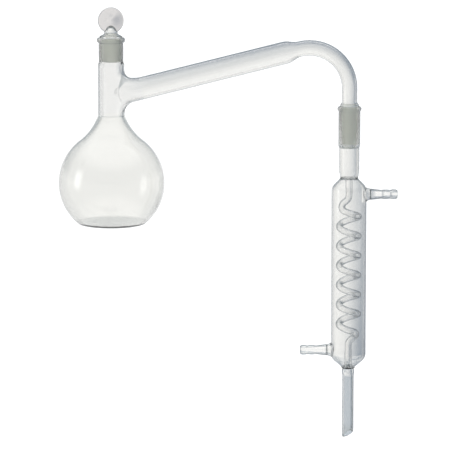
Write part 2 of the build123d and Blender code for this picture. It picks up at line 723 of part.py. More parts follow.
# Drip tube: swells under the seal and is cut slantwise at its end
drip_end = drip_top - DRIP_LENGTH
cut_height = drip_end + DRIP_OD / 2 * tan(radians(DRIP_CUT_ANGLE))
cut_plane = Plane(
    origin=(drop_x, 0, cut_height),
    z_dir=(
        sin(radians(DRIP_CUT_ANGLE)) * cos(radians(DRIP_CUT_PHASE)),
        sin(radians(DRIP_CUT_ANGLE)) * sin(radians(DRIP_CUT_PHASE)),
        cos(radians(DRIP_CUT_ANGLE)),
    ),
)
with BuildPart() as drip_tube:
    with BuildSketch(drop_section):
        with BuildLine():
            swell_foot = drip_top - DRIP_SWELL_LENGTH
            swell_middle = (DRIP_SWELL_DIAMETER / 2, drip_top - DRIP_SWELL_LENGTH / 2)
            swell = ThreePointArc(
                (DRIP_OD / 2, drip_top), swell_middle, (DRIP_OD / 2, swell_foot), mode=Mode.PRIVATE
            )
            banded(swell, BEAD_BANDS)
            Polyline(
                (DRIP_OD / 2, swell_foot),
                (DRIP_OD / 2, drip_end),
                (DRIP_BORE / 2, drip_end),
                (DRIP_BORE / 2, drip_top),
                (DRIP_OD / 2, drip_top),
            )
        make_face()
    revolve(axis=drop_axis)
    split(bisect_by=cut_plane, keep=Keep.TOP)

# Least gap of the coil's tube to itself, measured on points along its route
samples = GAP_POINTS_PER_ARC * arc_count
route = [coil_route.wire() @ (step / samples) for step in range(samples + 1)]
route_length = coil_route.wire().length
near = ceil(samples * 2 * COIL_TUBE_OD / route_length)
least_gap = min(
    (route[i] - route[j]).length for i in range(samples) for j in range(i + near, samples)
)
print(f"coil route {route_length:.1f} mm, least gap to itself {least_gap - COIL_TUBE_OD:.2f} mm")
section_area = COIL_SIDES * (COIL_TUBE_OD**2 - STEM_BORE**2) * sin(2 * pi / COIL_SIDES) / 8
volume_share = condenser_coil.part.volume / section_area / route_length
print(f"coil volume over section times length {volume_share:.4f}")

pieces = {
    "flask_bulb": flask_bulb,
    "flask_neck": flask_neck,
    "stopper_socket": stopper_socket,
    "side_arm": side_arm,
    "arm_reducer": arm_reducer,
    "arm_bend": arm_bend,
    "drip_cone": drip_cone,
    "stopper_plug": stopper_plug,
    "stopper_grip": stopper_grip,
    "condenser_socket": condenser_socket,
    "condenser_head": condenser_head,
    "upper_ring_seal": upper_ring_seal,
    "water_jacket": water_jacket,
    "water_outlet": water_outlet,
    "water_inlet": water_inlet,
    "coil_inlet_stem": coil_inlet_stem,
    "condenser_coil": condenser_coil,
    "coil_outlet_stem": coil_outlet_stem,
    "lower_ring_seal": lower_ring_seal,
    "drip_tube": drip_tube,
}
os.makedirs("parts", exist_ok=True)
for name, piece in pieces.items():
    piece.part.label = name
    export_step(piece.part, f"parts/{name}.step")
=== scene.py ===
import math
from contextlib import contextmanager
import bmesh
import bpy
import numpy as np
from mathutils import Matrix, Vector


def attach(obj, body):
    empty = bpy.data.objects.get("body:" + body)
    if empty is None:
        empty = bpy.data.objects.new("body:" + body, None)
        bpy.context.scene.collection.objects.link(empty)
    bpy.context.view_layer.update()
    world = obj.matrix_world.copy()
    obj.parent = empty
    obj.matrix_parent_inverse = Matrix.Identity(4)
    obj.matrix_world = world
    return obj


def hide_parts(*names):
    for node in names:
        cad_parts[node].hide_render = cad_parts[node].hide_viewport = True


# Distillation apparatus of clear borosilicate glass: flask, stopper and coil condenser. Sizes are
# in millimetres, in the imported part's frame, and each piece of glass takes its node's place.
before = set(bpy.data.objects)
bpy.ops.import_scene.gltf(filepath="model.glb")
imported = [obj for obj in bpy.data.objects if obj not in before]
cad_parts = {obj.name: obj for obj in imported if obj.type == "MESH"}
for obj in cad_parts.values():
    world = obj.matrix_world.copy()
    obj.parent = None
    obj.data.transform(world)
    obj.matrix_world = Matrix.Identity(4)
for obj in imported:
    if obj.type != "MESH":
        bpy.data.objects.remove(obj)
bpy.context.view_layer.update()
MM = 0.001

# Flask. The sphere starts by the base angle above the base's corner, and the shoulder stops a
# little under the neck's seal and a little wider than the neck
BULB_RADIUS = 53.0
BULB_CENTRE = 41.5
BULB_WALL = 1.6
BASE_THICKNESS = 2.6
BASE_CORNER = 7.4
BASE_BORE_CORNER = 4.4
BASE_ANGLE = 6.0
SHOULDER_ANGLE = 53.0
SHOULDER_STOP = 1.1
SHOULDER_EDGE = 0.35
SEAL_HEIGHT = 110.0
SEAL_STRAIGHT = 0.9
NECK_RADIUS = 13.3
NECK_BORE = 10.0
NECK_SHOULDER = 159.6
NECK_TOP = 162.3
ARM_HEIGHT = 128.7
ARM_SLOPE = math.radians(14.0)
ARM_RADIUS = 11.25
ARM_BORE = 9.65
ARM_LENGTH = 178.0
REDUCER_LENGTH = 15.0
BEND_TUBE = 7.8
BEND_BORE = 6.3
BEND_RADIUS = 40.0

# Side arm's root: a rounded hollow round it, larger by the flare below and smaller by a share of it
# above, where the tube opens like a trumpet
ROOT_LENGTH = 31.0
ROOT_BLEND = 9.0
ROOT_BORE_BLEND = 11.5
ROOT_FLARE = 2.5
FLARE_ABOVE = 0.8
TRUMPET_SLOPE = 0.12
TRUMPET_CURVE = 0.012

# Stopper and its socket
SOCKET_FOOT = 12.35
SOCKET_RADIUS = 12.3
SOCKET_STEP = 2.0
MOUTH_RADIUS = 11.25
MOUTH_EDGE = 0.15
MOUTH_DEPTH = 0.2
RIM_HEIGHT = 187.0
BEAD_HEIGHT = 5.3
BEAD_RADIUS = 14.2
GROUND_SLOPE = 0.05
GROUND_GAP = 0.05
GROUND_LIP = 0.6
PLUG_FOOT = 162.8
PLUG_GROUND = 164.2
PLUG_CORNER = 2.4
PLUG_WALL = 1.8
COLLAR_RADIUS = 11.4
COLLAR_STEP = 0.1
COLLAR_HEIGHT = 1.2
THROAT_RADIUS = 8.6
THROAT_HEIGHT = 189.6
WAIST_RADIUS = 6.9
WAIST_HEIGHT = 192.5
WAIST_CREASE = 0.35
CREASE_START = 1.8
CREASE_MIDDLE = 1.0
CAVITY_STRAIGHT = 0.5
ARCH_HEIGHT = 193.5
ARCH_REACH = 4.9
GRIP_HEIGHT = 204.0
GRIP_RADIUS = 12.8
GRIP_HALF = 4.0
GRIP_EDGE = 2.4
GRIP_DISH = 10.2
DISH_DEPTH = 1.1

# Ground cone on the arm, and the socket and head of the condenser under it
DROP_X = 236.944
BEND_HEIGHT = 136.579
STEM_FOOT = 121.979
STEM_SHELF = 2.2
CONE_TOP = 118.979
CONE_FOOT = 80.979
CONE_TIP = 76.679
CONE_LARGE = 9.4
CONE_SMALL = 7.5
CONE_WALL = 1.7
TIP_RADIUS = 7.35
TIP_LIP = 0.8
TIP_STEP = 0.1
JOINT_RIM = 117.979
JOINT_FOOT = 76.479
JOINT_GROUND = 38.0
JOINT_GAP = 0.01
JOINT_STEP = 0.2
JOINT_SHOULDER = 3.0
JOINT_RADIUS = 10.95
JOINT_BEAD = 12.05
JOINT_BEAD_HEIGHT = 4.5
HEAD_RADIUS = 10.25
HEAD_BORE = 8.55
HEAD_FOOT = 46.879
HEAD_FOOT_RADIUS = 9.1
HEAD_SHOULDER = 7.4
HEAD_FLOOR = 0.2
FLOOR_WALL = 1.5
FLOOR_EDGE = 0.2

# Upper ring seal's crease: how deep its lower and upper edge lie, and how high above the jacket
CREASE_DEPTHS = (0.35, 0.45)
CREASE_HEIGHTS = (0.6, 1.1)

# Water jacket with its stubs and hose nipples. Stations of a nipple count from the jacket's axis,
# and the points of its seam from the stub's end, inward and out along the nipple
JACKET_TOP = 45.079
JACKET_FOOT = -145.221
JACKET_RADIUS = 17.65
JACKET_WALL = 1.6
JACKET_CORNER = 10.0
TOP_RADIUS = 9.7
TOP_SLOPE = math.radians(45.0)
FOOT_RADIUS = 7.2
FOOT_SLOPE = math.radians(41.5)
SEAL_HOLLOW = 1.4
OUTLET_HEIGHT = 29.779
INLET_HEIGHT = -128.321
STUB_REACH = 21.0
STUB_END = 5.7
STUB_BORE = 4.1
STUB_TAPER = 0.3
STUB_BLEND = 1.6
STUB_BORE_BLEND = 0.9
NIPPLE_SEAM = ((0, 0), (0.25, 0.6), (0.05, 1.1))
NIPPLE_RADIUS = 4.35
RIDGE_START = 32.5
RIDGE_END = 41.0
RIDGE_RISE = 0.45
HOSE_BEAD_RADIUS = 4.95
HOSE_BEAD_START = 43.2
HOSE_BEAD_END = 46.4
NIPPLE_TIP = 48.4
NIPPLE_LIP = 4.0
NIPPLE_BORE = 2.7
LIP_DEPTH = 0.8

# Coil with its stems. A lead takes the tube from the axis out to the helix
STEM_RADIUS = 3.6
STEM_BORE = 2.4
STEM_SHOULDER = 1.2
STEM_TRUMPET = 4.6
TRUMPET_LENGTH = 4.0
COIL_TOP = 35.679
COIL_FOOT = -130.121
COIL_TUBE = 3.4
LEAD_DROP = 15.5
LEAD_FALL = 6.3
LEAD_REACH = 3.5
LEAD_PHASE = 181.0
LEAD_PITCH = math.radians(32.0)
LEAD_HEADING = math.radians(189.0)
COIL_RADIUS = 9.5
COIL_PITCH = 19.8
COIL_TURNS = (COIL_TOP - COIL_FOOT - 4 * COIL_TUBE - 2 * LEAD_DROP) / COIL_PITCH
COIL_PHASE = 249.0
COIL_SPANS = 25

# Drip tube, and the seam that it hangs from
DRIP_TOP = -147.021
DRIP_RADIUS = 5.8
DRIP_BORE = 4.3
DRIP_SWELL = 0.6
SWELL_LENGTH = 7.2
SEAM_RADIUS = 6.9
SEAM_HEIGHT = 0.9
SEAM_STEP = 0.5
SEAM_RISE = 0.1
TUBE_FOOT = -206.0
CUT_HEIGHT = -213.8
CUT_ANGLE = math.radians(29.0)
CUT_PHASE = math.radians(205.0)
CUT_EDGE = 0.12

# Facets round a turned piece, round the side arm, and round the coil's tube
ROUND = 96
ARM_ROUND = 144
COIL_ROUND = 40

# Longest step in mm along a wall with branches, and the angle from which an edge is drawn sharp
WALL_STEP = 2.0
SHARP_ANGLE = math.radians(42.0)

# Points this near in metres become one, and shorter edges than this are taken out
WELD_REACH = 2e-6
SHORTEST_EDGE = 1e-7

# A turn in radians that needs no rounding, and the most of a run that a rounded corner takes
SLIGHT_TURN = 0.01
CORNER_SHARE = 0.48


def arc(centre, radius, start, end, step=5.0):
    """Points of an arc in a section plane, between two angles in degrees."""
    count = max(2, math.ceil(abs(end - start) / step))
    angles = [math.radians(start + (end - start) * i / count) for i in range(count + 1)]
    return [(centre[0] + radius * math.cos(a), centre[1] + radius * math.sin(a)) for a in angles]


def tangent_arc(start, heading, end, step=5.0):
    """Points of the arc that leaves a point along a heading in degrees and ends at another."""
    across = (-math.sin(math.radians(heading)), math.cos(math.radians(heading)))
    chord = (end[0] - start[0], end[1] - start[1])
    radius = (chord[0] ** 2 + chord[1] ** 2) / (2 * (chord[0] * across[0] + chord[1] * across[1]))
    centre = (start[0] + across[0] * radius, start[1] + across[1] * radius)
    first = math.degrees(math.atan2(start[1] - centre[1], start[0] - centre[0]))
    last = math.degrees(math.atan2(end[1] - centre[1], end[0] - centre[0]))
    turn = (last - first + 180) % 360 - 180
    return arc(centre, abs(radius), first, first + turn, step)


def bulge(start, end, height, step=9.0):
    """Points of a shallow arc between two points, standing out by a height on its right."""
    chord = math.dist(start, end)
    radius = (chord**2 / 4 + height**2) / (2 * height)
    half = math.degrees(2 * math.atan2(2 * height, chord))
    heading = math.degrees(math.atan2(end[1] - start[1], end[0] - start[0]))
    return tangent_arc(start, heading - half, end, step)


def eased(corners, step=9.0):
    """An outline through its corners. A corner's third number is the radius that rounds it."""
    line = [corners[0][:2]]
    for before, corner, after in zip(corners, corners[1:], corners[2:]):
        radius = corner[2] if len(corner) > 2 else 0
        here = Vector(corner[:2])
        back = Vector(before[:2]) - here
        ahead = Vector(after[:2]) - here
        turn = math.pi - back.angle(ahead)
        if radius == 0 or turn < SLIGHT_TURN:
            line.append(corner[:2])
            continue
        room = CORNER_SHARE * min(back.length, ahead.length)
        reach = min(radius * math.tan(turn / 2), room)
        start = here + back.normalized() * reach
        end = here + ahead.normalized() * reach
        heading = math.degrees(math.atan2(-back.y, -back.x))
        line += tangent_arc(tuple(start), heading, tuple(end), step)
    return line + [corners[-1][:2]]


def supported(line, near=0.3, far=6.0):
    """The outline with points added close to the ends of long runs, so that they shade straight."""
    points = [line[0]]
    for start, end in zip(line, line[1:]):
        length = math.dist(start, end)
        places = []
        if length > 4 * near:
            count = math.ceil(length / far)
            inner = [i / count for i in range(1, count)]
            places = [near / length, *inner, 1 - near / length]
        points += [
            (start[0] + (end[0] - start[0]) * p, start[1] + (end[1] - start[1]) * p)
            for p in sorted(places)
        ]
        points.append(end)
    return points


def along(origin, direction, up):
    """Place of a piece that is turned about a slanting axis: its Z follows it, its X points up."""
    z = Vector(direction).normalized()
    x = (Vector(up) - z * z.dot(Vector(up))).normalized()
    y = z.cross(x)
    turned = Matrix((x, y, z)).transposed().to_4x4()
    return Matrix.Translation(origin) @ turned


arm_direction = Vector((math.cos(ARM_SLOPE), 0, math.sin(ARM_SLOPE)))
arm_up = Vector((-math.sin(ARM_SLOPE), 0, math.cos(ARM_SLOPE)))
arm_place = along((0, 0, ARM_HEIGHT), arm_direction, arm_up)
drop_place = Matrix.Translation((DROP_X, 0, 0))
outlet_place = along((DROP_X, 0, OUTLET_HEIGHT), (1, 0, 0), (0, 0, 1))
inlet_place = along((DROP_X, 0, INLET_HEIGHT), (-1, 0, 0), (0, 0, 1))


def ring(radius, height, count):
    """Points round the axis at a radius and a height."""
    turns = [2 * math.pi * i / count for i in range(count)]
    return [Vector((radius * math.cos(t), radius * math.sin(t), height)) for t in turns]


def new_object(name, data):
    """A new object in the scene."""
    made = bpy.data.objects.new(name, data)
    bpy.context.scene.collection.objects.link(made)
    return made


def shade(mesh):
    """Shades a mesh smooth, with its real edges sharp."""
    mesh.shade_smooth()
    mesh.set_sharp_from_angle(angle=SHARP_ANGLE)


@contextmanager
def edited(mesh):
    """A mesh opened for editing, and written back at the end."""
    work = bmesh.new()
    work.from_mesh(mesh)
    yield work
    work.to_mesh(mesh)
    work.free()


class Glass:
    """The surfaces of one piece of glass: points, faces, each face's finish, and drawing lines."""

    def __init__(self, place=None):
        self.place = place or Matrix.Identity(4)
        self.points = []
        self.drawn = []
        self.faces = []
        self.finishes = []

    def rows(self, rows, finish=0, inward=False, drawn=None, skip=None):
        """Adds a net of closed rows. Going along the rows, the glass is on the left."""
        first = len(self.points)
        width = len(rows[0])
        for number, row in enumerate(rows):
            self.points += row
            self.drawn += drawn[number] if drawn else row
        for i in range(len(rows) - 1):
            for j in range(width):
                if skip and skip(i, j):
                    continue
                k = (j + 1) % width
                low, high = first + i * width, first + (i + 1) * width
                face = (low + j, low + k, high + k, high + j)
                self.faces.append(face[::-1] if inward else face)
                self.finishes.append(finish)

    def turned(self, line, finish=0, count=ROUND):
        """Adds an outline of radius and height turned about the axis, glass on its left."""
        self.rows([ring(r, z, count) for r, z in supported(line)], finish)

    def mesh(self, name, finishes):
        """The piece's mesh in metres, in the part's frame."""
        mesh = bpy.data.meshes.new(name)
        placed = [self.place @ point * MM for point in self.points]
        mesh.from_pydata(placed, [], self.faces)
        lines = mesh.attributes.new("drawn", "FLOAT_VECTOR", "POINT")
        lines.data.foreach_set("vector", [value for point in self.drawn for value in point])
        for finish in finishes:
            mesh.materials.append(finish)
        mesh.polygons.foreach_set("material_index", self.finishes)
        with edited(mesh) as work:
            bmesh.ops.remove_doubles(work, verts=work.verts, dist=WELD_REACH)
            bmesh.ops.dissolve_degenerate(work, edges=work.edges, dist=SHORTEST_EDGE)
        shade(mesh)
        return mesh


def put(name, mesh, body, node):
    """Puts a piece of glass in its node's place, on its body."""
    piece = new_object(name, mesh)
    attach(piece, body)
    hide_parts(node)


def put_glass(name, glass, finishes, body, node):
    """Makes a piece's mesh from its surfaces and puts it in its node's place."""
    put(name, glass.mesh(name, finishes), body, node)


# Camera, in metres: straight in front of the object, looking down by nine degrees, with a long lens
CAMERA_DROP = math.radians(9.0)
CAMERA_DISTANCE = 3.5
CAMERA_LENS = 280.0
FILM_WIDTH = 36.0
VIEW_CENTRE = Vector((0.1131, 0, -0.0013))
camera_data = bpy.data.cameras.new("camera")
camera_data.sensor_width = FILM_WIDTH
camera_data.lens = CAMERA_LENS
camera = new_object("camera", camera_data)
back = Vector((0, -math.cos(CAMERA_DROP), math.sin(CAMERA_DROP)))
camera.location = VIEW_CENTRE + back * CAMERA_DISTANCE
camera.rotation_mode = "QUATERNION"
camera.rotation_quaternion = back.to_track_quat("Z", "Y")
bpy.context.scene.camera = camera


def linear(colour, strength=1.0):
    """An sRGB hex colour as linear red, green, blue and one."""
    parts = [int(colour[i : i + 2], 16) / 255 for i in (0, 2, 4)]
    lit = [c / 12.92 if c <= 0.04045 else ((c + 0.055) / 1.055) ** 2.4 for c in parts]
    return (*[c * strength for c in lit], 1.0)


def empty_tree(owner):
    """The node tree of a material, light or world, with nothing in it yet."""
    owner.use_nodes = True
    owner.node_tree.nodes.clear()
    return owner.node_tree


def add(tree, kind, inputs, **settings):
    """Adds a node with its settings, and sets or links its inputs."""
    made = tree.nodes.new(kind)
    for name, value in settings.items():
        setattr(made, name, value)
    for socket, value in inputs.items():
        if isinstance(value, bpy.types.NodeSocket):
            tree.links.new(value, made.inputs[socket])
        else:
            made.inputs[socket].default_value = value
    return made


# Refractive index of borosilicate glass, and the three stops of its painted edge shade: two as
# shares of the slant at which the bore ends, and the last as a share of what is left beyond it. The
# middle stop has this much of the rim's colour.
GLASS_IOR = 1.473
FACE_STOP = 0.5
MIDDLE_STOP = 0.95
RIM_SHADE_STOP = 0.35
MIDDLE_RIM_SHADE = 0.22


def glass_finish(name, face, rim, bore, grain, stretch, depth, roughness=0.0):
    """Borosilicate glass. Bore is the bore's share of the tube's width: outside it the eye looks
    along the wall, and the face colour turns to the rim colour, a painted shade along the glass's
    borders. Grain is the width in mm of the waviness that working the glass leaves, stretch how
    much longer it runs along the tube, and depth its height in mm."""
    material = bpy.data.materials.new(name)
    tree = empty_tree(material)
    lines = add(tree, "ShaderNodeAttribute", {}, attribute_name="drawn")
    size = (1 / grain, 1 / grain, 1 / (grain * stretch))
    laid = add(tree, "ShaderNodeMapping", {"Vector": lines.outputs["Vector"], "Scale": size})
    waves = add(
        tree, "ShaderNodeTexNoise", {"Vector": laid.outputs[0], "Scale": 1.0, "Detail": 2.0}
    )
    relief = add(
        tree,
        "ShaderNodeBump",
        {"Height": waves.outputs["Fac"], "Strength": 1.0, "Distance": depth * MM},
    )
    # Painted shade: the colour darkens towards the rim where the surface turns edge-on to the eye
    slant = add(tree, "ShaderNodeLayerWeight", {"Blend": 0.5})
    edge_shade = add(tree, "ShaderNodeValToRGB", {"Fac": slant.outputs["Facing"]})
    edge = 1 - math.sqrt(1 - bore**2)
    stops = edge_shade.color_ramp.elements
    stops[0].position, stops[0].color = FACE_STOP * edge, linear(face)
    stops[1].position, stops[1].color = edge + RIM_SHADE_STOP * (1 - edge), linear(rim)
    mixed = [a + (b - a) * MIDDLE_RIM_SHADE for a, b in zip(linear(face), linear(rim))]
    stops.new(MIDDLE_STOP * edge).color = mixed
    shader = add(
        tree,
        "ShaderNodeBsdfPrincipled",
        {
            "Base Color": edge_shade.outputs["Color"],
            "Normal": relief.outputs["Normal"],
            "Roughness": roughness,
            "IOR": GLASS_IOR,
            "Transmission Weight": 1.0,
        },
    )
    add(tree, "ShaderNodeOutputMaterial", {"Surface": shader.outputs["BSDF"]})
    return material


# In every finish below, the second colour is painted shade along the glass's borders
# Mould-blown and flame-worked glass of the bulb and its shoulder: broad soft waves in the wall
blown_glass = glass_finish("blown_borosilicate", "eeeeea", "9a9ea0", 0.96, 14.0, 1.0, 0.02)
# Drawn tube of the arm, bend, sockets, plug, head and jacket: faint lines that run along the tube
drawn_glass = glass_finish("drawn_borosilicate_tube", "eeeeeb", "848a90", 0.88, 2.2, 22.0, 0.006)
# Heavy-wall tube of the neck and the drip tube: a wider painted grey shade along each side
heavy_glass = glass_finish("heavy_borosilicate_tube", "ececea", "8a9094", 0.76, 2.2, 22.0, 0.006)
# Inside skin of most pieces: as the fire left it, with nothing to see but the faintest lines
inner_skin = glass_finish("fire_polished_bore", "f3f3f3", "dedede", 0.95, 2.2, 22.0, 0.004)
# Coil tube, drawn thin and wound hot: finer lines, and a slight ripple round each turn
wound_glass = glass_finish("wound_borosilicate_tube", "fefefe", "7c848a", 0.78, 1.5, 14.0, 0.006)
# Pressed glass of the grip: a smooth skin with shallow waves from the mould
pressed_glass = glass_finish("pressed_borosilicate", "d0cecd", "848484", 0.8, 6.0, 1.0, 0.03)
# Ground joint: an even grey-green bloom, because the ground skin scatters the light. Its grit is
# drawn as coarse as it needs to show
ground_glass = glass_finish("ground_borosilicate", "eef0ea", "c4c8c2", 0.9, 0.35, 1.0, 0.02, 0.5)
# Hose nipples, worked in the flame: thick, so their sides have broad, dark painted shade
nipple_glass = glass_finish("flame_worked_borosilicate", "f2f2f0", "5e686e", 0.66, 3.0, 4.0, 0.006)
# Bore of a hose nipple: painted shade shows its sides as two lines along the nipple
nipple_bore = glass_finish("flame_worked_bore", "f8f8f8", "a4aaae", 0.88, 3.0, 4.0, 0.004)
# Fused seam: a thin line of painted shade where two walls run together and the glass turns the
# light aside
painted_seam_shade = glass_finish("fused_seam_painted_shade", "50585a", "1c2022", 0.6, 1.2, 1.0, 0.03)


# Flask bulb: a sphere on a flat base, with the shoulder up to the neck's seal
def bulb_side(radius, floor, neck, base_corner):
    """Side of the bulb from the middle of its base up to the neck's seal."""
    corner = math.sqrt(radius**2 - (BULB_CENTRE - floor) ** 2)
    start = -math.degrees(math.asin((BULB_CENTRE - floor) / radius))
    sphere = arc((0, BULB_CENTRE), radius, start + BASE_ANGLE, SHOULDER_ANGLE, 3.0)
    shoulder_end = (neck + SHOULDER_EDGE, SEAL_HEIGHT - SHOULDER_STOP)
    shoulder = tangent_arc(sphere[-1], SHOULDER_ANGLE + 90, shoulder_end, 3.0)
    return eased(
        [
            (0, floor),
            (corner, floor, base_corner),
            *sphere,
            *shoulder[1:-1],
            (neck, SEAL_HEIGHT - SEAL_STRAIGHT, 3.0),
            (neck, SEAL_HEIGHT),
        ],
        5.0,
    )


bulb = Glass()
bulb.turned(bulb_side(BULB_RADIUS, 0, NECK_RADIUS, BASE_CORNER))
inside = bulb_side(BULB_RADIUS - BULB_WALL, BASE_THICKNESS, NECK_BORE, BASE_BORE_CORNER)
bulb.turned(inside[::-1], 1)
put_glass("bulb", bulb, [blown_glass, inner_skin], "flask", "flask_bulb")


class Side:
    """An outline of radius and height, measured along its length."""

    def __init__(self, line):
        self.line = np.array(line, float)
        self.runs = np.diff(self.line, axis=0)
        self.lengths = np.linalg.norm(self.runs, axis=1)
        self.ends = np.concatenate([[0], np.cumsum(self.lengths)])

    def at(self, place):
        """Radius and height at a length along the outline."""
        return tuple(np.interp(place, self.ends, self.line[:, k]) for k in (0, 1))

    def nearest(self, radius, height):
        """Distance out from the outline, and the length along it of the nearest point."""
        away = np.array((radius, height)) - self.line[:-1]
        share = np.clip((away * self.runs).sum(1) / self.lengths**2, 0, 1)
        gaps = away - self.runs * share[:, None]
        distances = np.linalg.norm(gaps, axis=1)
        best = int(np.argmin(distances))
        run, gap = self.runs[best], gaps[best]
        outside = 1 if run[1] * gap[0] - run[0] * gap[1] > 0 else -1
        return outside * distances[best], self.ends[best] + share[best] * self.lengths[best]


# Steps of a branch's net: from the window to the root, round the ball, and along the branch
ROOT_STEPS = 8
BALL_STEPS = 7
BRANCH_STEPS = 5
HALVINGS = 34


def branch_width(branch, phi, left):
    """A branch's radius at a distance before its end, and how fast it widens there. A flared one
    opens like a trumpet on its upper side."""
    over = max(0.0, math.cos(phi)) ** 2 if branch["flare"] else 0.0
    slope = branch["taper"] + TRUMPET_SLOPE * over
    curve = TRUMPET_CURVE * over
    return branch["radius"] + (slope + curve * left) * left, slope + 2 * curve * left


def branch_net(side, axis_x, branch, window):
    """Rows of the wall round a blown-out branch: from the window's edge in the main wall to the
    root of a ball-rounded hollow, through it, and along the branch to its end."""
    origin = branch["place"].translation
    turn = branch["place"].to_3x3()
    out = turn @ Vector((0, 0, 1))
    reach = branch["reach"]
    spokes = []
    for number in range(branch["count"]):
        phi = 2 * math.pi * number / branch["count"]
        spokes.append((phi, turn @ Vector((math.cos(phi), math.sin(phi), 0))))
    roots, arcs, feet = [], [], []
    for phi, away in spokes:
        over, under = max(0.0, math.cos(phi)) ** 2, max(0.0, -math.cos(phi)) ** 2
        size = branch["blend"] + branch["flare"] * (under - FLARE_ABOVE * over)

        def ball(distance):
            """Gap from the wall to the ball that rests on the branch at a distance, where along the
            wall it is nearest, the ball's centre, and its foot on the branch."""
            width, slope = branch_width(branch, phi, reach - distance)
            lean = math.atan(slope)
            foot = origin + out * distance + away * width
            centre = foot + (away * math.cos(lean) + out * math.sin(lean)) * size
            gap, where = side.nearest(math.hypot(centre.x - axis_x, centre.y), centre.z)
            return gap - size, where, centre, foot

        low, high = 0.0, reach
        for _ in range(HALVINGS):
            middle = (low + high) / 2
            if ball(middle)[0] < 0:
                low = middle
            else:
                high = middle
        _, where, centre, foot = ball(high)
        theta = math.atan2(centre.y, centre.x - axis_x)
        r, z = side.at(where)
        root = Vector((axis_x + r * math.cos(theta), r * math.sin(theta), z))
        roots.append((theta, where))
        start, end = (root - centre).normalized(), (foot - centre).normalized()
        steps = [start.slerp(end, k / BALL_STEPS) for k in range(1, BALL_STEPS)]
        arcs.append([root, *[centre + step * size for step in steps], foot])
        feet.append(high)
    rows = []
    middle_theta = math.atan2(out.y, out.x)
    for step in range(ROOT_STEPS):
        share = step / ROOT_STEPS
        row = []
        for (theta, where), (root_theta, root_where) in zip(window, roots):
            bend = (root_theta - middle_theta + math.pi) % (2 * math.pi) - math.pi
            t = middle_theta + theta + (bend - theta) * share
            r, z = side.at(where + (root_where - where) * share)
            row.append(Vector((axis_x + r * math.cos(t), r * math.sin(t), z)))
        rows.append(row)
    rows += [[spoke[k] for spoke in arcs] for k in range(BALL_STEPS + 1)]
    for step in range(1, BRANCH_STEPS + 1):
        row = []
        for (phi, away), foot in zip(spokes, feet):
            left = (reach - foot) * (1 - step / BRANCH_STEPS)
            width, _ = branch_width(branch, phi, left)
            row.append(origin + out * (reach - left) + away * width)
        rows.append(row)
    return rows


def window_ring(places, columns, rows):
    """Places round the window in the main wall's net, from its top middle, columns backwards."""
    half = columns // 2
    low, high = rows
    width = 2 * math.pi / ROUND
    ring_places = [(-i * width, places[high]) for i in range(half)]
    ring_places += [(-half * width, places[j]) for j in range(high, low, -1)]
    ring_places += [(i * width, places[low]) for i in range(-half, half)]
    ring_places += [(half * width, places[j]) for j in range(low, high)]
    ring_places += [(i * width, places[high]) for i in range(half, 0, -1)]
    return ring_places


def branched_wall(glass, side, places, axis_x, branches, inward):
    """Adds a turned wall with its branches. A branch gives its place, radius, taper, blend, flare,
    reach, facets, and the window in the net that it grows from: columns and first and last row."""
    rows = []
    for place in places:
        r, z = side.at(place)
        rows.append([point + Vector((axis_x, 0, 0)) for point in ring(r, z, ROUND)])

    def in_window(i, j):
        """Whether a face of the wall's net lies in a branch's window."""
        for branch in branches:
            half = branch["columns"] // 2
            middle = 0 if (branch["place"].to_3x3() @ Vector((0, 0, 1))).x > 0 else ROUND // 2
            offset = (j - middle + ROUND // 2) % ROUND - ROUND // 2
            if branch["rows"][0] <= i < branch["rows"][1] and -half <= offset < half:
                return True
        return False

    finish = 1 if inward else 0
    glass.rows(rows, finish, inward=inward, skip=in_window)
    for branch in branches:
        window = window_ring(places, branch["columns"], branch["rows"])
        glass.rows(branch_net(side, axis_x, branch, window), finish, inward=inward)


# Flask neck: the tube, its shoulder under the socket, and the side arm's root blown out of it
NECK_ROWS = 28
ROOT_COLUMNS = 44
neck = Glass()
neck_line = eased(
    [(NECK_RADIUS, SEAL_HEIGHT), (NECK_RADIUS, NECK_SHOULDER, 3), (SOCKET_FOOT, NECK_TOP)], 6.0
)
neck_walls = [
    (neck_line, ARM_RADIUS, ROOT_BLEND, False),
    ([(NECK_BORE, SEAL_HEIGHT), (NECK_BORE, NECK_TOP)], ARM_BORE, ROOT_BORE_BLEND, True),
]
for line, branch_radius, blend, inward in neck_walls:
    side = Side(supported(line, far=WALL_STEP))
    places = [side.ends[-1] * i / NECK_ROWS for i in range(NECK_ROWS + 1)]
    root = {
        "place": arm_place,
        "radius": branch_radius,
        "taper": 0.0,
        "blend": blend,
        "flare": ROOT_FLARE,
        "reach": ROOT_LENGTH,
        "count": ARM_ROUND,
        "columns": ROOT_COLUMNS,
        "rows": (0, NECK_ROWS),
    }
    branched_wall(neck, side, places, 0, [root], inward)
put_glass("neck", neck, [heavy_glass, inner_skin], "flask", "flask_neck")


def ground_socket(place, side, bead_radius, bead_height, mouth, rim, bore):
    """A ground socket: clear outside, from its side up to a rolled bead on the rim, ground inside
    from its mouth down, and open below along its bore."""
    radius = side[-1][0]
    lip = (mouth, rim - MOUTH_DEPTH)
    bead = bulge((radius, rim - bead_height), (radius, rim), bead_radius - radius, 12.0)
    glass = Glass(place)
    glass.turned([*side, *bead, (mouth + MOUTH_EDGE, rim), lip])
    glass.turned([lip, bore[0]], 1)
    glass.turned(bore, 2)
    return glass


# Stopper socket
ground_foot = NECK_TOP + GROUND_LIP
bore_foot = (MOUTH_RADIUS - GROUND_SLOPE * (RIM_HEIGHT - ground_foot), ground_foot)
socket = ground_socket(
    None,
    [(SOCKET_FOOT, NECK_TOP), (SOCKET_RADIUS, NECK_TOP + SOCKET_STEP)],
    BEAD_RADIUS,
    BEAD_HEIGHT,
    MOUTH_RADIUS,
    RIM_HEIGHT,
    [bore_foot, (NECK_BORE, NECK_TOP)],
)
joint_finishes = [drawn_glass, ground_glass, inner_skin]
put_glass(
    "stopper_socket_glass", socket, joint_finishes, "flask", "stopper_socket"
)

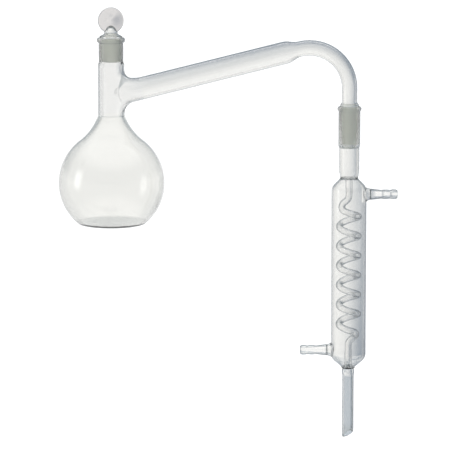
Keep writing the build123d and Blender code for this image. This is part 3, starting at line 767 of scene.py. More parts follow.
# Side arm: a plain tube, open at both ends
tube_finishes = [drawn_glass, inner_skin]
arm = Glass(arm_place)
arm.turned([(ARM_RADIUS, ROOT_LENGTH), (ARM_RADIUS, ARM_LENGTH)], 0, ARM_ROUND)
arm.turned([(ARM_BORE, ARM_LENGTH), (ARM_BORE, ROOT_LENGTH)], 1, ARM_ROUND)
put_glass("arm_tube", arm, tube_finishes, "flask", "side_arm")


def drawn_down(start, end, steps=24):
    """S-shaped outline from one radius to another, straight at both ends."""
    line = []
    for i in range(steps + 1):
        share = i / steps
        ease = (1 - math.cos(math.pi * share)) / 2
        radius = start[0] + (end[0] - start[0]) * ease
        line.append((radius, start[1] + (end[1] - start[1]) * share))
    return line


# Reducer, drawn down in the flame from the wide tube to the narrow one
REDUCER_END = ARM_LENGTH + REDUCER_LENGTH
reducer = Glass(arm_place)
reducer.turned(drawn_down((ARM_RADIUS, ARM_LENGTH), (BEND_TUBE, REDUCER_END)), 0, ARM_ROUND)
reducer.turned(drawn_down((ARM_BORE, ARM_LENGTH), (BEND_BORE, REDUCER_END))[::-1], 1, ARM_ROUND)
put_glass("reducer_tube", reducer, tube_finishes, "flask", "arm_reducer")


def bent_ring(middle, across, beside, length, radius, count):
    """A ring of points round a bent tube, and its place on the tube when it was straight."""
    points, lines = [], []
    for number in range(count):
        phi = 2 * math.pi * number / count
        x, y = radius * math.cos(phi), radius * math.sin(phi)
        points.append(middle + across * x + beside * y)
        lines.append(Vector((x, y, length)))
    return points, lines


def bent_tube(stations, skins, count):
    """A bent tube. A station is a point of its middle line, two directions across it and the length
    up to it. A skin is a radius, a finish, and whether it faces inward."""
    glass = Glass()
    for radius, finish, inward in skins:
        rows, drawn = zip(*[bent_ring(*station, radius, count) for station in stations])
        glass.rows(rows, finish, inward=inward, drawn=drawn)
    return glass


# Bend: the narrow tube turned over in the flame, and pointing down at its end
BEND_STEPS = 64
bend_start = Vector((0, 0, ARM_HEIGHT)) + arm_direction * REDUCER_END
bend_centre = bend_start - arm_up * BEND_RADIUS
bend_angle = math.pi / 2 + ARM_SLOPE


def bend_outward(share):
    """Direction from the bend's centre to the tube, at a share of the bend, and the angle there."""
    angle = bend_angle * share
    return arm_up * math.cos(angle) + arm_direction * math.sin(angle), angle


bend_stations = []
for step in range(BEND_STEPS + 1):
    outward, angle = bend_outward(step / BEND_STEPS)
    middle = bend_centre + outward * BEND_RADIUS
    bend_stations.append((middle, outward, Vector((0, -1, 0)), BEND_RADIUS * angle))
bend = bent_tube(bend_stations, [(BEND_TUBE, 0, False), (BEND_BORE, 1, True)], ARM_ROUND)
put_glass("bend_tube", bend, tube_finishes, "flask", "arm_bend")

# Drip cone: stem, collar and ground cone, with a plain fire-polished tip
cone = Glass(drop_place)
inside = eased(
    [
        (BEND_BORE, BEND_HEIGHT),
        (BEND_BORE, STEM_FOOT, 3.0),
        (CONE_LARGE - CONE_WALL, CONE_TOP, 3.0),
        (CONE_SMALL - CONE_WALL, CONE_FOOT, 10.0),
        (TIP_RADIUS - CONE_WALL, CONE_TIP + TIP_LIP),
    ]
)
cone.turned(inside, 2, ARM_ROUND)
tip = eased(
    [
        (TIP_RADIUS - CONE_WALL, CONE_TIP + TIP_LIP),
        (TIP_RADIUS - CONE_WALL, CONE_TIP, TIP_LIP),
        (TIP_RADIUS, CONE_TIP, TIP_LIP),
        (TIP_RADIUS, CONE_FOOT - TIP_STEP),
        (CONE_SMALL, CONE_FOOT),
    ]
)
cone.turned(tip, 0, ARM_ROUND)
cone.turned([(CONE_SMALL, CONE_FOOT), (CONE_LARGE, CONE_TOP)], 1, ARM_ROUND)
collar = eased(
    [
        (CONE_LARGE, CONE_TOP),
        (CONE_LARGE, STEM_FOOT - STEM_SHELF, 0.8),
        (BEND_TUBE, STEM_FOOT, 2.5),
        (BEND_TUBE, BEND_HEIGHT),
    ]
)
cone.turned(collar, 0, ARM_ROUND)
put_glass("drip_cone_glass", cone, joint_finishes, "flask", "drip_cone")

# Stopper: the hollow plug and the grip run together, so each ends where it meets the other
plug_top = MOUTH_RADIUS - GROUND_GAP


def plug_side(height):
    """Radius of the ground plug at a height."""
    return plug_top - GROUND_SLOPE * (RIM_HEIGHT - height)


plug = Glass()
plug_foot = eased(
    [
        (0, PLUG_FOOT),
        (plug_side(PLUG_FOOT), PLUG_FOOT, PLUG_CORNER),
        (plug_side(PLUG_GROUND + 1), PLUG_GROUND + 1),
    ]
)
plug.turned(plug_foot[:-1] + [(plug_side(PLUG_GROUND), PLUG_GROUND)])
plug.turned([(plug_side(PLUG_GROUND), PLUG_GROUND), (plug_side(RIM_HEIGHT), RIM_HEIGHT)], 1)
plug_neck = eased(
    [
        (plug_side(RIM_HEIGHT), RIM_HEIGHT),
        (COLLAR_RADIUS, RIM_HEIGHT + COLLAR_STEP, 0.2),
        (COLLAR_RADIUS, RIM_HEIGHT + COLLAR_HEIGHT, 0.5),
        (THROAT_RADIUS, THROAT_HEIGHT, 4.0),
        (WAIST_RADIUS, WAIST_HEIGHT - CREASE_START, 3.0),
        (WAIST_RADIUS - WAIST_CREASE, WAIST_HEIGHT - CREASE_MIDDLE, 0.5),
        (WAIST_RADIUS, WAIST_HEIGHT),
    ]
)
plug.turned(plug_neck + arc((0, WAIST_HEIGHT), WAIST_RADIUS, 0, 90, 5.0)[1:])

# Grip: a thick round disc on edge, with a soft dish in each face and a rounded rim
DISH_STEPS = 16
near_side = []
for i in range(DISH_STEPS):
    deep = DISH_DEPTH * (1 + math.cos(math.pi * i / DISH_STEPS)) / 2
    near_side.append((GRIP_DISH * i / DISH_STEPS, deep - GRIP_HALF))
near_side += eased(
    [(GRIP_DISH, -GRIP_HALF), (GRIP_RADIUS, -GRIP_HALF, GRIP_EDGE), (GRIP_RADIUS, 0)]
)
grip = Glass(along((0, 0, GRIP_HEIGHT), (0, 1, 0), (0, 0, 1)))
grip.turned(near_side + [(r, -y) for r, y in near_side[::-1][1:]])


def cut_open(name, body, cutter, finishes):
    """The part of one closed piece's skin that lies outside another closed piece."""
    mark = bpy.data.materials.new("cut_" + name)
    first = new_object("first_" + name, body.mesh("first_" + name, finishes))
    second = new_object("second_" + name, cutter.mesh("second_" + name, [mark] * 2))
    cut = first.modifiers.new("cut", "BOOLEAN")
    cut.operation, cut.solver, cut.object = "DIFFERENCE", "EXACT", second
    cut.material_mode = "TRANSFER"
    bpy.context.view_layer.update()
    result = first.evaluated_get(bpy.context.evaluated_depsgraph_get())
    made = bpy.data.meshes.new_from_object(result)
    for item in (first, second):
        bpy.data.objects.remove(item)
    marked = [i for i, finish in enumerate(made.materials) if finish == mark]
    with edited(made) as work:
        gone = [face for face in work.faces if face.material_index in marked]
        bmesh.ops.delete(work, geom=gone, context="FACES")
    while len(made.materials) > len(finishes):
        made.materials.pop()
    bpy.data.materials.remove(mark)
    made.name = name
    shade(made)
    return made


plug_skin = cut_open("plug_glass", plug, grip, [drawn_glass, ground_glass, painted_seam_shade])
grip_skin = cut_open("grip_glass", grip, plug, [pressed_glass])

# The plug's domed top takes the seam's painted shade beside the grip, where the two run together,
# so a dark arch is painted there
with edited(plug_skin) as work:
    for side_y in (-ARCH_REACH * MM, ARCH_REACH * MM):
        every = work.verts[:] + work.edges[:] + work.faces[:]
        bmesh.ops.bisect_plane(work, geom=every, plane_co=(0, side_y, 0), plane_no=(0, 1, 0))
    for face in work.faces:
        middle = face.calc_center_median()
        if middle.z > ARCH_HEIGHT * MM and abs(middle.y) < ARCH_REACH * MM:
            face.material_index = 2

# Hollow of the plug, closed at both ends
cavity = Glass()
cavity_line = arc((0, WAIST_HEIGHT), WAIST_RADIUS - PLUG_WALL, 90, 0, 6.0)
cavity_line += eased(
    [
        (WAIST_RADIUS - PLUG_WALL, WAIST_HEIGHT - CAVITY_STRAIGHT),
        (WAIST_RADIUS - PLUG_WALL, THROAT_HEIGHT, 3.0),
        (plug_side(RIM_HEIGHT) - PLUG_WALL, RIM_HEIGHT, 3.0),
        (plug_side(PLUG_FOOT) - PLUG_WALL, PLUG_FOOT + PLUG_WALL, 2.0),
        (0, PLUG_FOOT + PLUG_WALL),
    ]
)
cavity.turned(cavity_line, 3)
plug_skin.materials.append(inner_skin)
cavity_mesh = cavity.mesh("plug_cavity", list(plug_skin.materials))
with edited(plug_skin) as work:
    work.from_mesh(cavity_mesh)
plug_skin.set_sharp_from_angle(angle=SHARP_ANGLE)
put("plug_glass", plug_skin, "stopper", "stopper_plug")
put("grip_glass", grip_skin, "stopper", "stopper_grip")

# Condenser socket, open below into the head
shoulder = (JOINT_RADIUS, JOINT_FOOT + JOINT_SHOULDER)
bore_foot = (CONE_SMALL + JOINT_GAP, JOINT_RIM - JOINT_GROUND)
joint = ground_socket(
    drop_place,
    [(HEAD_RADIUS, JOINT_FOOT), *drawn_down((HEAD_RADIUS, JOINT_FOOT + JOINT_STEP), shoulder, 8)],
    JOINT_BEAD,
    JOINT_BEAD_HEIGHT,
    CONE_LARGE,
    JOINT_RIM,
    drawn_down(bore_foot, (HEAD_BORE, JOINT_FOOT), 8),
)
put_glass(
    "condenser_socket_glass",
    joint,
    joint_finishes,
    "condenser",
    "condenser_socket",
)

# Condenser head, drawn in at its foot, with the floor that opens into the coil's stem
head = Glass(drop_place)
shoulder = (HEAD_RADIUS, HEAD_FOOT + HEAD_SHOULDER, 14.0)
head.turned(eased([(HEAD_FOOT_RADIUS, HEAD_FOOT), shoulder, (HEAD_RADIUS, JOINT_FOOT)]))
inside = eased(
    [
        (HEAD_BORE, JOINT_FOOT),
        (HEAD_BORE, HEAD_FOOT + HEAD_SHOULDER, 12.0),
        (HEAD_FOOT_RADIUS - FLOOR_WALL, HEAD_FOOT + HEAD_FLOOR, 1.0),
        (STEM_BORE + FLOOR_EDGE, HEAD_FOOT + HEAD_FLOOR),
        (STEM_BORE, HEAD_FOOT),
    ]
)
head.turned(inside, 1)
put_glass("head_glass", head, tube_finishes, "condenser", "condenser_head")

# Upper ring seal: a crease outside with the seam's painted shade on it, and a rounded hollow under
# it round the coil's stem
seal_finishes = [drawn_glass, painted_seam_shade, inner_skin]
top_wall = JACKET_WALL / math.sin(TOP_SLOPE)
foot_wall = JACKET_WALL / math.sin(FOOT_SLOPE)
upper_seal = Glass(drop_place)
crease_foot = (TOP_RADIUS - CREASE_DEPTHS[0], JACKET_TOP + CREASE_HEIGHTS[0])
crease_top = (HEAD_FOOT_RADIUS - CREASE_DEPTHS[1], JACKET_TOP + CREASE_HEIGHTS[1])
upper_seal.turned([(TOP_RADIUS, JACKET_TOP), crease_foot])
upper_seal.turned([crease_foot, crease_top], 1)
upper_seal.turned([crease_top, (HEAD_FOOT_RADIUS, HEAD_FOOT)])
upper_seal.turned([(STEM_BORE, HEAD_FOOT), (STEM_BORE, JACKET_TOP)], 2)
hollow_half = (TOP_RADIUS - top_wall - STEM_RADIUS) / 2
hollow = [
    (STEM_RADIUS + hollow_half * (1 + across), JACKET_TOP + SEAL_HOLLOW * rise)
    for across, rise in arc((0, 0), 1, 180, 0, 15.0)
]
upper_seal.turned(hollow, 2)
put_glass(
    "upper_seal_glass", upper_seal, seal_finishes, "condenser", "upper_ring_seal"
)


def jacket_side(radius, top_radius, foot_radius, corner):
    """Side of the jacket, from its foot up to its top."""
    return eased(
        [
            (foot_radius, JACKET_FOOT),
            (radius, JACKET_FOOT + (radius - foot_radius) * math.tan(FOOT_SLOPE), corner),
            (radius, JACKET_TOP - (radius - top_radius) * math.tan(TOP_SLOPE), corner),
            (top_radius, JACKET_TOP),
        ],
        4.0,
    )


# Water jacket, with a stub blown out of it for each hose nipple. Its net has closer rows there
PORT_HALF = 12.0
WINDOW = 24
FOOT_ROWS = 10
MIDDLE_ROWS = 28
TOP_ROWS = 8
jacket = Glass()
outer_line = jacket_side(JACKET_RADIUS, TOP_RADIUS, FOOT_RADIUS, JACKET_CORNER)
inner_line = jacket_side(
    JACKET_RADIUS - JACKET_WALL,
    TOP_RADIUS - top_wall,
    FOOT_RADIUS - foot_wall,
    JACKET_CORNER - JACKET_WALL,
)
jacket_walls = [
    (outer_line, STUB_END, STUB_BLEND, False),
    (inner_line, STUB_BORE, STUB_BORE_BLEND, True),
]
for line, branch_radius, blend, inward in jacket_walls:
    side = Side(supported(line, far=WALL_STEP))
    low_port = side.nearest(JACKET_RADIUS, INLET_HEIGHT)[1]
    high_port = side.nearest(JACKET_RADIUS, OUTLET_HEIGHT)[1]
    stretches = [
        (0, low_port - PORT_HALF, FOOT_ROWS),
        (low_port - PORT_HALF, low_port + PORT_HALF, WINDOW),
        (low_port + PORT_HALF, high_port - PORT_HALF, MIDDLE_ROWS),
        (high_port - PORT_HALF, high_port + PORT_HALF, WINDOW),
        (high_port + PORT_HALF, side.ends[-1], TOP_ROWS),
    ]
    places = [0.0]
    for start, end, count in stretches:
        places += [start + (end - start) * (i + 1) / count for i in range(count)]
    ports = []
    for place, first in (
        (inlet_place, FOOT_ROWS),
        (outlet_place, FOOT_ROWS + WINDOW + MIDDLE_ROWS),
    ):
        ports.append(
            {
                "place": place,
                "radius": branch_radius,
                "taper": STUB_TAPER,
                "blend": blend,
                "flare": 0.0,
                "reach": STUB_REACH,
                "count": ROUND,
                "columns": WINDOW,
                "rows": (first, first + WINDOW),
            }
        )
    branched_wall(jacket, side, places, DROP_X, ports, inward)
put_glass("jacket_glass", jacket, tube_finishes, "condenser", "water_jacket")


def nipple(place):
    """Hose nipple: a fused root with the seam's painted shade, a taper, a low ridge, an end bead
    and a round lip.
    """
    glass = Glass(place)
    seam = [(STUB_END - inward, STUB_REACH + out) for inward, out in NIPPLE_SEAM]
    glass.turned(seam, 1)
    ridge = bulge((NIPPLE_RADIUS, RIDGE_START), (NIPPLE_RADIUS, RIDGE_END), RIDGE_RISE, 3.0)
    lip_end = (NIPPLE_BORE, NIPPLE_TIP - LIP_DEPTH)
    bead = eased(
        [
            (NIPPLE_RADIUS, RIDGE_END),
            (HOSE_BEAD_RADIUS, HOSE_BEAD_START, 1.0),
            (HOSE_BEAD_RADIUS, HOSE_BEAD_END, 1.2),
            (NIPPLE_LIP, NIPPLE_TIP, 0.9),
            (NIPPLE_BORE, NIPPLE_TIP, 0.5),
            lip_end,
        ]
    )
    glass.turned([seam[-1], *ridge, *bead[1:]])
    bore = eased([lip_end, (NIPPLE_BORE, HOSE_BEAD_START, 3.0), (STUB_BORE, STUB_REACH)])
    glass.turned(bore, 2)
    return glass


nipple_finishes = [nipple_glass, painted_seam_shade, nipple_bore]
for name, node, place in (
    ("outlet_nipple_glass", "water_outlet", outlet_place),
    ("inlet_nipple_glass", "water_inlet", inlet_place),
):
    put_glass(name, nipple(place), nipple_finishes, "condenser", node)

# Coil stems: straight tubes, and the lower one opens like a trumpet in its ring seal
coil_finishes = [wound_glass, inner_skin]
inlet_stem = Glass(drop_place)
inlet_stem.turned(
    [(COIL_TUBE, COIL_TOP), (STEM_RADIUS, COIL_TOP + STEM_SHOULDER), (STEM_RADIUS, JACKET_TOP)]
)
inlet_stem.turned([(STEM_BORE, JACKET_TOP), (STEM_BORE, COIL_TOP)], 1)
put_glass(
    "inlet_stem_glass", inlet_stem, coil_finishes, "condenser", "coil_inlet_stem"
)
outlet_stem = Glass(drop_place)
outlet_stem.turned(
    drawn_down((STEM_TRUMPET, JACKET_FOOT), (STEM_RADIUS, JACKET_FOOT + TRUMPET_LENGTH), 10)
    + [(STEM_RADIUS, COIL_FOOT - STEM_SHOULDER), (COIL_TUBE, COIL_FOOT)]
)
outlet_stem.turned([(STEM_BORE, COIL_FOOT), (STEM_BORE, JACKET_FOOT)], 1)
put_glass(
    "outlet_stem_glass", outlet_stem, coil_finishes, "condenser", "coil_outlet_stem"
)


# Condenser coil: a left-handed helix, led in from the axis and out to it again
def polar(radius, phase, height):
    """Point at a radius and a phase in degrees about the condenser's axis."""
    angle = math.radians(phase)
    return Vector((DROP_X + radius * math.cos(angle), radius * math.sin(angle), height))


lead_top = COIL_TOP - 2 * COIL_TUBE
helix_top = lead_top - LEAD_DROP
helix_middle = helix_top - COIL_TURNS * COIL_PITCH / 2
helix_slope = COIL_PITCH / (2 * math.pi * COIL_RADIUS)


def helix_station(phase):
    """Point and direction of the helix at a phase."""
    angle = math.radians(phase)
    drop = COIL_PITCH * (phase - COIL_PHASE) / 360
    heading = Vector((-math.sin(angle), math.cos(angle), -helix_slope)).normalized()
    return polar(COIL_RADIUS, phase, helix_top - drop), heading


def turned_over(station):
    """A station of the way in, carried to the way out and faced along it."""
    across = math.radians(2 * (COIL_PHASE + COIL_TURNS * 180))
    flip = Matrix(
        (
            (math.cos(across), math.sin(across), 0),
            (math.sin(across), -math.cos(across), 0),
            (0, 0, -1),
        )
    )
    middle = Vector((DROP_X, 0, helix_middle))
    point, heading = station
    return middle + flip @ (point - middle), -(flip @ heading)


down = Vector((0, 0, -1))
lead_heading = Vector(
    (
        math.cos(LEAD_PITCH) * math.cos(LEAD_HEADING),
        math.cos(LEAD_PITCH) * math.sin(LEAD_HEADING),
        -math.sin(LEAD_PITCH),
    )
)
lead_start = (polar(0, 0, lead_top), down)
lead_turn = (polar(LEAD_REACH, LEAD_PHASE, lead_top - LEAD_FALL), lead_heading)
stations = [(polar(0, 0, COIL_TOP), down), lead_start, lead_turn]
stations += [
    helix_station(COIL_PHASE + 360 * COIL_TURNS * i / COIL_SPANS) for i in range(COIL_SPANS + 1)
]
stations += [turned_over(lead_turn), turned_over(lead_start), (polar(0, 0, COIL_FOOT), down)]

# The tube's middle line, a smooth curve from station to station, in steps of up to eight degrees
TURN_STEP = 8
route = [stations[0]]
for (start, leaving), (end, arriving) in zip(stations, stations[1:]):
    chord = (end - start).length
    turn = leaving.angle(arriving, 0)
    pull = chord / math.cos(turn / 4) ** 2
    steps = max(3, math.ceil(math.degrees(turn) / TURN_STEP))
    for step in range(1, steps + 1):
        t = step / steps
        point = (
            start * (2 * t**3 - 3 * t**2 + 1)
            + leaving * pull * (t**3 - 2 * t**2 + t)
            + end * (3 * t**2 - 2 * t**3)
            + arriving * pull * (t**3 - t**2)
        )
        tangent = (
            start * (6 * t**2 - 6 * t)
            + leaving * pull * (3 * t**2 - 4 * t + 1)
            + end * (6 * t - 6 * t**2)
            + arriving * pull * (3 * t**2 - 2 * t)
        ).normalized()
        route.append((point, tangent))
across = Vector((1, 0, 0))
length = 0.0
before = route[0][0]
coil_stations = []
for point, tangent in route:
    length += (point - before).length
    before = point
    across = (across - tangent * across.dot(tangent)).normalized()
    coil_stations.append((point, across, across.cross(tangent), length))
coil = bent_tube(coil_stations, [(COIL_TUBE, 0, True), (STEM_BORE, 1, False)], COIL_ROUND)
put_glass("coil_tube_glass", coil, coil_finishes, "condenser", "condenser_coil")

# Lower ring seal: the jacket's foot, the stem's trumpet and the drip tube run together, with the
# seam's painted shade on the outside
lower_seal = Glass(drop_place)
seam = [
    (DRIP_RADIUS, DRIP_TOP),
    (DRIP_RADIUS + SEAM_STEP, DRIP_TOP + SEAM_RISE),
    (SEAM_RADIUS, DRIP_TOP + SEAM_HEIGHT),
    (FOOT_RADIUS, JACKET_FOOT),
]
lower_seal.turned(seam, 1)
lower_seal.turned([(STEM_BORE, JACKET_FOOT), (DRIP_BORE, DRIP_TOP)], 2)
lower_seal.turned([(STEM_TRUMPET, JACKET_FOOT), (FOOT_RADIUS - foot_wall, JACKET_FOOT)], 2)
put_glass(
    "lower_seal_glass", lower_seal, seal_finishes, "condenser", "lower_ring_seal"
)

# Drip tube: swells under the seal, and is cut slantwise at its end
drip = Glass(drop_place)
cut_lean = math.tan(CUT_ANGLE)


def cut_ring(radius, share):
    """A ring on its way from the level foot of the tube to the slanted cut."""
    points = []
    for point in ring(radius, 0, ROUND):
        slope = point.x * math.cos(CUT_PHASE) + point.y * math.sin(CUT_PHASE)
        end = CUT_HEIGHT - cut_lean * slope
        points.append(Vector((point.x, point.y, TUBE_FOOT + (end - TUBE_FOOT) * share)))
    return points


# Rows of the bore, and stations of the cut end: radius, and share of the way down to the cut
SWELL_STEPS = 12
BORE_HEIGHTS = (DRIP_TOP, DRIP_TOP - 4, -170.0, -190.0, TUBE_FOOT)
CUT_STATIONS = (
    (DRIP_BORE, 0.5),
    (DRIP_BORE, 0.96),
    (DRIP_BORE + CUT_EDGE, 0.995),
    (DRIP_RADIUS - CUT_EDGE, 0.995),
    (DRIP_RADIUS, 0.96),
    (DRIP_RADIUS, 0.5),
)
outer = []
for i in range(SWELL_STEPS + 1):
    share = i / SWELL_STEPS
    swell = DRIP_SWELL * math.sin(math.pi * share) ** 2
    outer.append((DRIP_RADIUS + swell, DRIP_TOP - SWELL_LENGTH * share))
outer.append((DRIP_RADIUS, TUBE_FOOT))
outer_rows = [ring(r, z, ROUND) for r, z in supported(outer)[::-1]]
inner_rows = [ring(DRIP_BORE, z, ROUND) for z in BORE_HEIGHTS]
cut_rows = [cut_ring(radius, share) for radius, share in CUT_STATIONS]
drip.rows(inner_rows, 1)
drip.rows([inner_rows[-1], *cut_rows, *outer_rows])
put_glass(
    "drip_tube_glass", drip, [heavy_glass, inner_skin], "condenser", "drip_tube"
)

# Floor: matt white paint with a fine speckle, about four centimetres below the drip tube's tip.
# Height and reach in metres, speckle as its spots per metre
FLOOR_HEIGHT = -0.26
FLOOR_REACH = 40.0
FLOOR_CORNERS = 64
SPECKLE = 900.0
floor_finish = bpy.data.materials.new("matt_white_floor")
tree = empty_tree(floor_finish)
spot = add(tree, "ShaderNodeTexCoord", {})
speckle = add(
    tree, "ShaderNodeTexNoise", {"Vector": spot.outputs["Object"], "Scale": SPECKLE, "Detail": 2.0}
)
paint = add(
    tree,
    "ShaderNodeMix",
    {"Factor": speckle.outputs["Fac"], "A": linear("f6f6f6"), "B": linear("fafafa")},
    data_type="RGBA",
)
matt = add(
    tree,
    "ShaderNodeBsdfPrincipled",
    {"Base Color": paint.outputs[2], "Roughness": 0.95, "Specular IOR Level": 0.0},
)
add(tree, "ShaderNodeOutputMaterial", {"Surface": matt.outputs["BSDF"]})
floor_mesh = bpy.data.meshes.new("floor")
floor_edge = [point * FLOOR_REACH for point in ring(1, 0, FLOOR_CORNERS)]
floor_points = [(point.x, point.y, FLOOR_HEIGHT) for point in floor_edge]
floor_mesh.from_pydata(floor_points, [], [tuple(range(FLOOR_CORNERS))])
floor_mesh.materials.append(floor_finish)
floor = new_object("floor", floor_mesh)

# Light: a white surround with a pale grey band above the horizon, brightest overhead. The glass
# sees the surround in place of the floor, so that the lights may reach lower than it.
HORIZON, HORIZON_LIGHT = 0.03, 1.12
OVERHEAD, OVERHEAD_LIGHT = 0.8, 1.75
GREY_BAND = ((0.12, "d4d9dc"), (0.5, "cdd3d7"))
floor.visible_glossy = False
floor.visible_transmission = False
world = bpy.data.worlds.new("studio")
bpy.context.scene.world = world
sky = empty_tree(world)
look = add(sky, "ShaderNodeTexCoord", {})
height = add(sky, "ShaderNodeSeparateXYZ", {"Vector": look.outputs["Generated"]})
fall = add(sky, "ShaderNodeValToRGB", {"Fac": height.outputs["Z"]})
stops = fall.color_ramp.elements
stops[0].position, stops[0].color = HORIZON, linear("ffffff", HORIZON_LIGHT)
stops[1].position, stops[1].color = OVERHEAD, linear("ffffff", OVERHEAD_LIGHT)
for height_share, colour in GREY_BAND:
    stops.new(height_share).color = linear(colour)
surround = add(sky, "ShaderNodeBackground", {"Color": fall.outputs["Color"], "Strength": 1.0})
add(sky, "ShaderNodeOutputWorld", {"Surface": surround.outputs["Background"]})


# A soft box is even in its middle, and fades from this far off it, as a share of its width
FADE_START = 0.06


def soft_light(name, position, width, height, power):
    """A soft box with fading edges that faces the middle of the object and isn't seen itself."""
    data = bpy.data.lights.new(name, "AREA")
    data.shape = "RECTANGLE"
    data.size, data.size_y = width, height
    data.energy = power
    light = new_object(name, data)
    light.location = position
    light.rotation_mode = "QUATERNION"
    light.rotation_quaternion = (Vector(position) - VIEW_CENTRE).to_track_quat("Z", "Y")
    light.visible_camera = False
    tree = empty_tree(data)
    spot = add(tree, "ShaderNodeNewGeometry", {})
    across = add(tree, "ShaderNodeSeparateXYZ", {"Vector": spot.outputs["Parametric"]})
    fade = {"From Min": FADE_START, "From Max": 0.5, "To Min": 1.0, "To Max": 0.0}
    sides = []
    for part in ("X", "Y"):
        off = add(tree, "ShaderNodeMath", {0: across.outputs[part], 1: 0.5}, operation="SUBTRACT")
        size = add(tree, "ShaderNodeMath", {0: off.outputs[0]}, operation="ABSOLUTE")
        inputs = {"Value": size.outputs[0], **fade}
        faded = add(tree, "ShaderNodeMapRange", inputs, interpolation_type="SMOOTHSTEP")
        sides.append(faded.outputs[0])
    both = add(tree, "ShaderNodeMath", {0: sides[0], 1: sides[1]}, operation="MULTIPLY")
    glow = add(tree, "ShaderNodeEmission", {"Color": (1, 1, 1, 1), "Strength": both.outputs[0]})
    add(tree, "ShaderNodeOutputLight", {"Surface": glow.outputs["Emission"]})


# Places and sizes in metres, power in watts: a large soft box on the left, a weak one on the right
soft_light("left_light", (-2.9, -0.62, 0.42), 1.6, 2.7, 38.0)
soft_light("right_light", (2.9, -0.62, -0.35), 0.4, 0.6, 0.8)


def card(name, rows, colour):
    """A card that only light on its way through glass meets: it paints shade on what is seen
    through the glass. Its rows have points, each with how much of the colour is there."""
    finish = bpy.data.materials.new(name)
    tree = empty_tree(finish)
    cover = add(tree, "ShaderNodeAttribute", {}, attribute_name="cover")
    painted_shade = add(tree, "ShaderNodeEmission", {"Color": linear(colour), "Strength": 1.0})
    clear = add(tree, "ShaderNodeBsdfTransparent", {})
    veil = add(tree, "ShaderNodeMixShader", {"Fac": cover.outputs["Fac"]})
    tree.links.new(clear.outputs[0], veil.inputs[1])
    tree.links.new(painted_shade.outputs[0], veil.inputs[2])
    add(tree, "ShaderNodeOutputMaterial", {"Surface": veil.outputs[0]})
    width = len(rows[0])
    faces = [
        (i * width + j, i * width + j + 1, (i + 1) * width + j + 1, (i + 1) * width + j)
        for i in range(len(rows) - 1)
        for j in range(width - 1)
    ]
    mesh = bpy.data.meshes.new(name)
    mesh.from_pydata([point for row in rows for point, _ in row], [], faces)
    shares = mesh.attributes.new("cover", "FLOAT", "POINT")
    shares.data.foreach_set("value", [share for row in rows for _, share in row])
    mesh.materials.append(finish)
    made = new_object(name, mesh)
    made.visible_camera = False
    made.visible_shadow = False
    made.visible_diffuse = False
    made.visible_glossy = False


# Painted shade behind the arm, the bend and the condenser: a sheet that fades in across their line,
# from clear on its inside to bluish grey on its outside, so the tubes read darker on their outer
# side. It hangs behind them, lower by as much as the line of sight falls. A profile gives how far
# outward a point lies in mm, and how much of the colour it has.
TINT_DEPTH = 0.07
TINT_BEND_STEPS = 12
tint_fall = TINT_DEPTH / MM * math.tan(CAMERA_DROP)
fade_in = ((-14, 0.0), (-6, 0.03), (1, 0.12), (8, 0.33))
NARROW_TINT = (*fade_in, (14, 0.6), (18, 0.8), (22, 0.8), (26, 0.0))
WIDE_TINT = (*fade_in, (15, 0.6), (24, 0.9), (80, 0.9), (96, 0.0))

# Strength along the arm, by distance from the neck's axis, and down the condenser, by height and
# by how far the line is moved to the right
ARM_TINT = ((14, 0.0), (40, 0.7), (110, 0.85), (160, 0.95), (REDUCER_END, 1.0))
CONDENSER_TINT = (
    (100, 0, 0.9, NARROW_TINT),
    (22, 0, 0.7, NARROW_TINT),
    (18, 0, 0.7, WIDE_TINT),
    (-30, 0, 0.8, WIDE_TINT),
    (-100, -3, 0.95, WIDE_TINT),
    (-146, -5, 1.05, WIDE_TINT),
    (-158, -5, 0.0, WIDE_TINT),
)
tint_line = []
for along_arm, strength in ARM_TINT:
    middle = Vector((0, 0, ARM_HEIGHT)) + arm_direction * along_arm
    tint_line.append((middle, arm_up, strength, WIDE_TINT))
for step in range(1, TINT_BEND_STEPS + 1):
    outward, _ = bend_outward(step / TINT_BEND_STEPS)
    tint_line.append((bend_centre + outward * BEND_RADIUS, outward, 1.0, WIDE_TINT))
for z, shift, strength, profile in CONDENSER_TINT:
    tint_line.append((Vector((DROP_X + shift, 0, z)), Vector((1, 0, 0)), strength, profile))
tint_rows = []
for middle, outward, strength, profile in tint_line:
    hung = middle + Vector((0, TINT_DEPTH / MM, -tint_fall))
    tint_rows.append([((hung + outward * out) * MM, strength * cover) for out, cover in profile])
card("bluish_painted_shade", tint_rows, "808fa2")
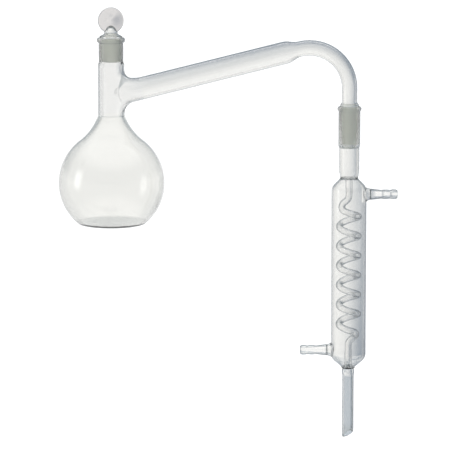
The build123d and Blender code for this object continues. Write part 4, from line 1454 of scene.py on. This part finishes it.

# Painted shade behind the drip tube, which spreads what is behind it, so the card is wide
DRIP_TINT_HEIGHTS = ((-152, 0.0), (-162, 1.0), (-240, 1.0))
DRIP_TINT_SIDES = ((-70, 0.0), (-45, 0.54), (45, 0.6), (70, 0.0))
drip_rows = [
    [(((DROP_X + x) * MM, TINT_DEPTH, z * MM), cover * share) for x, cover in DRIP_TINT_SIDES]
    for z, share in DRIP_TINT_HEIGHTS
]
card("drip_painted_shade", drip_rows, "7994ab")


def side_card(name, middle, distance, heights, angles, colour):
    """A card on an arc behind the object, in metres. Heights and angles, in degrees to the right
    of straight behind, each come with how much of the colour is there."""
    rows = []
    for height, share in heights:
        row = []
        for angle, cover in angles:
            turn = math.radians(angle)
            point = (middle + distance * math.sin(turn), distance * math.cos(turn), height)
            row.append((point, share * cover))
        rows.append(row)
    card(name, rows, colour)


# Painted shade: a grey card behind on the right, which greys the right borders of the glass, a
# faint one on the left, and a dark one low on the right for the drip tube's border, a little nearer
# than the first
CONDENSER_X = DROP_X * MM
CENTRE_X = 0.1
CARD_DISTANCE = 1.0
LOW_DISTANCE = 0.98
TALL = ((-0.9, 0.0), (-0.6, 1.0), (0.3, 1.0), (0.7, 0.0))
LOW = ((-0.5, 0.0), (-0.42, 1.0), (-0.32, 1.0), (-0.29, 0.0))
RIGHT = ((11, 0.0), (16, 0.83), (24, 1.0), (36, 1.0), (50, 0.0))
LEFT = ((-55, 0.0), (-45, 0.2), (-22, 0.2), (-16, 0.0))
LOW_RIGHT = ((11, 0.0), (14, 0.95), (44, 0.95), (56, 0.0))
side_card("right_shade_card", CONDENSER_X, CARD_DISTANCE, TALL, RIGHT, "bbc0c5")
side_card("left_shade_card", CENTRE_X, CARD_DISTANCE, TALL, LEFT, "80868c")
side_card("drip_edge_shade_card", CONDENSER_X, LOW_DISTANCE, LOW, LOW_RIGHT, "4c545c")

# Light paths long enough for the many skins of coil, jacket and joints to stay clear
GLASS_TURNS = 40
MIRROR_TURNS = 12
CARDS_CROSSED = 16
scene = bpy.context.scene
scene.view_settings.view_transform = "Standard"
scene.cycles.max_bounces = GLASS_TURNS
scene.cycles.transmission_bounces = GLASS_TURNS
scene.cycles.glossy_bounces = MIRROR_TURNS
scene.cycles.transparent_max_bounces = CARDS_CROSSED
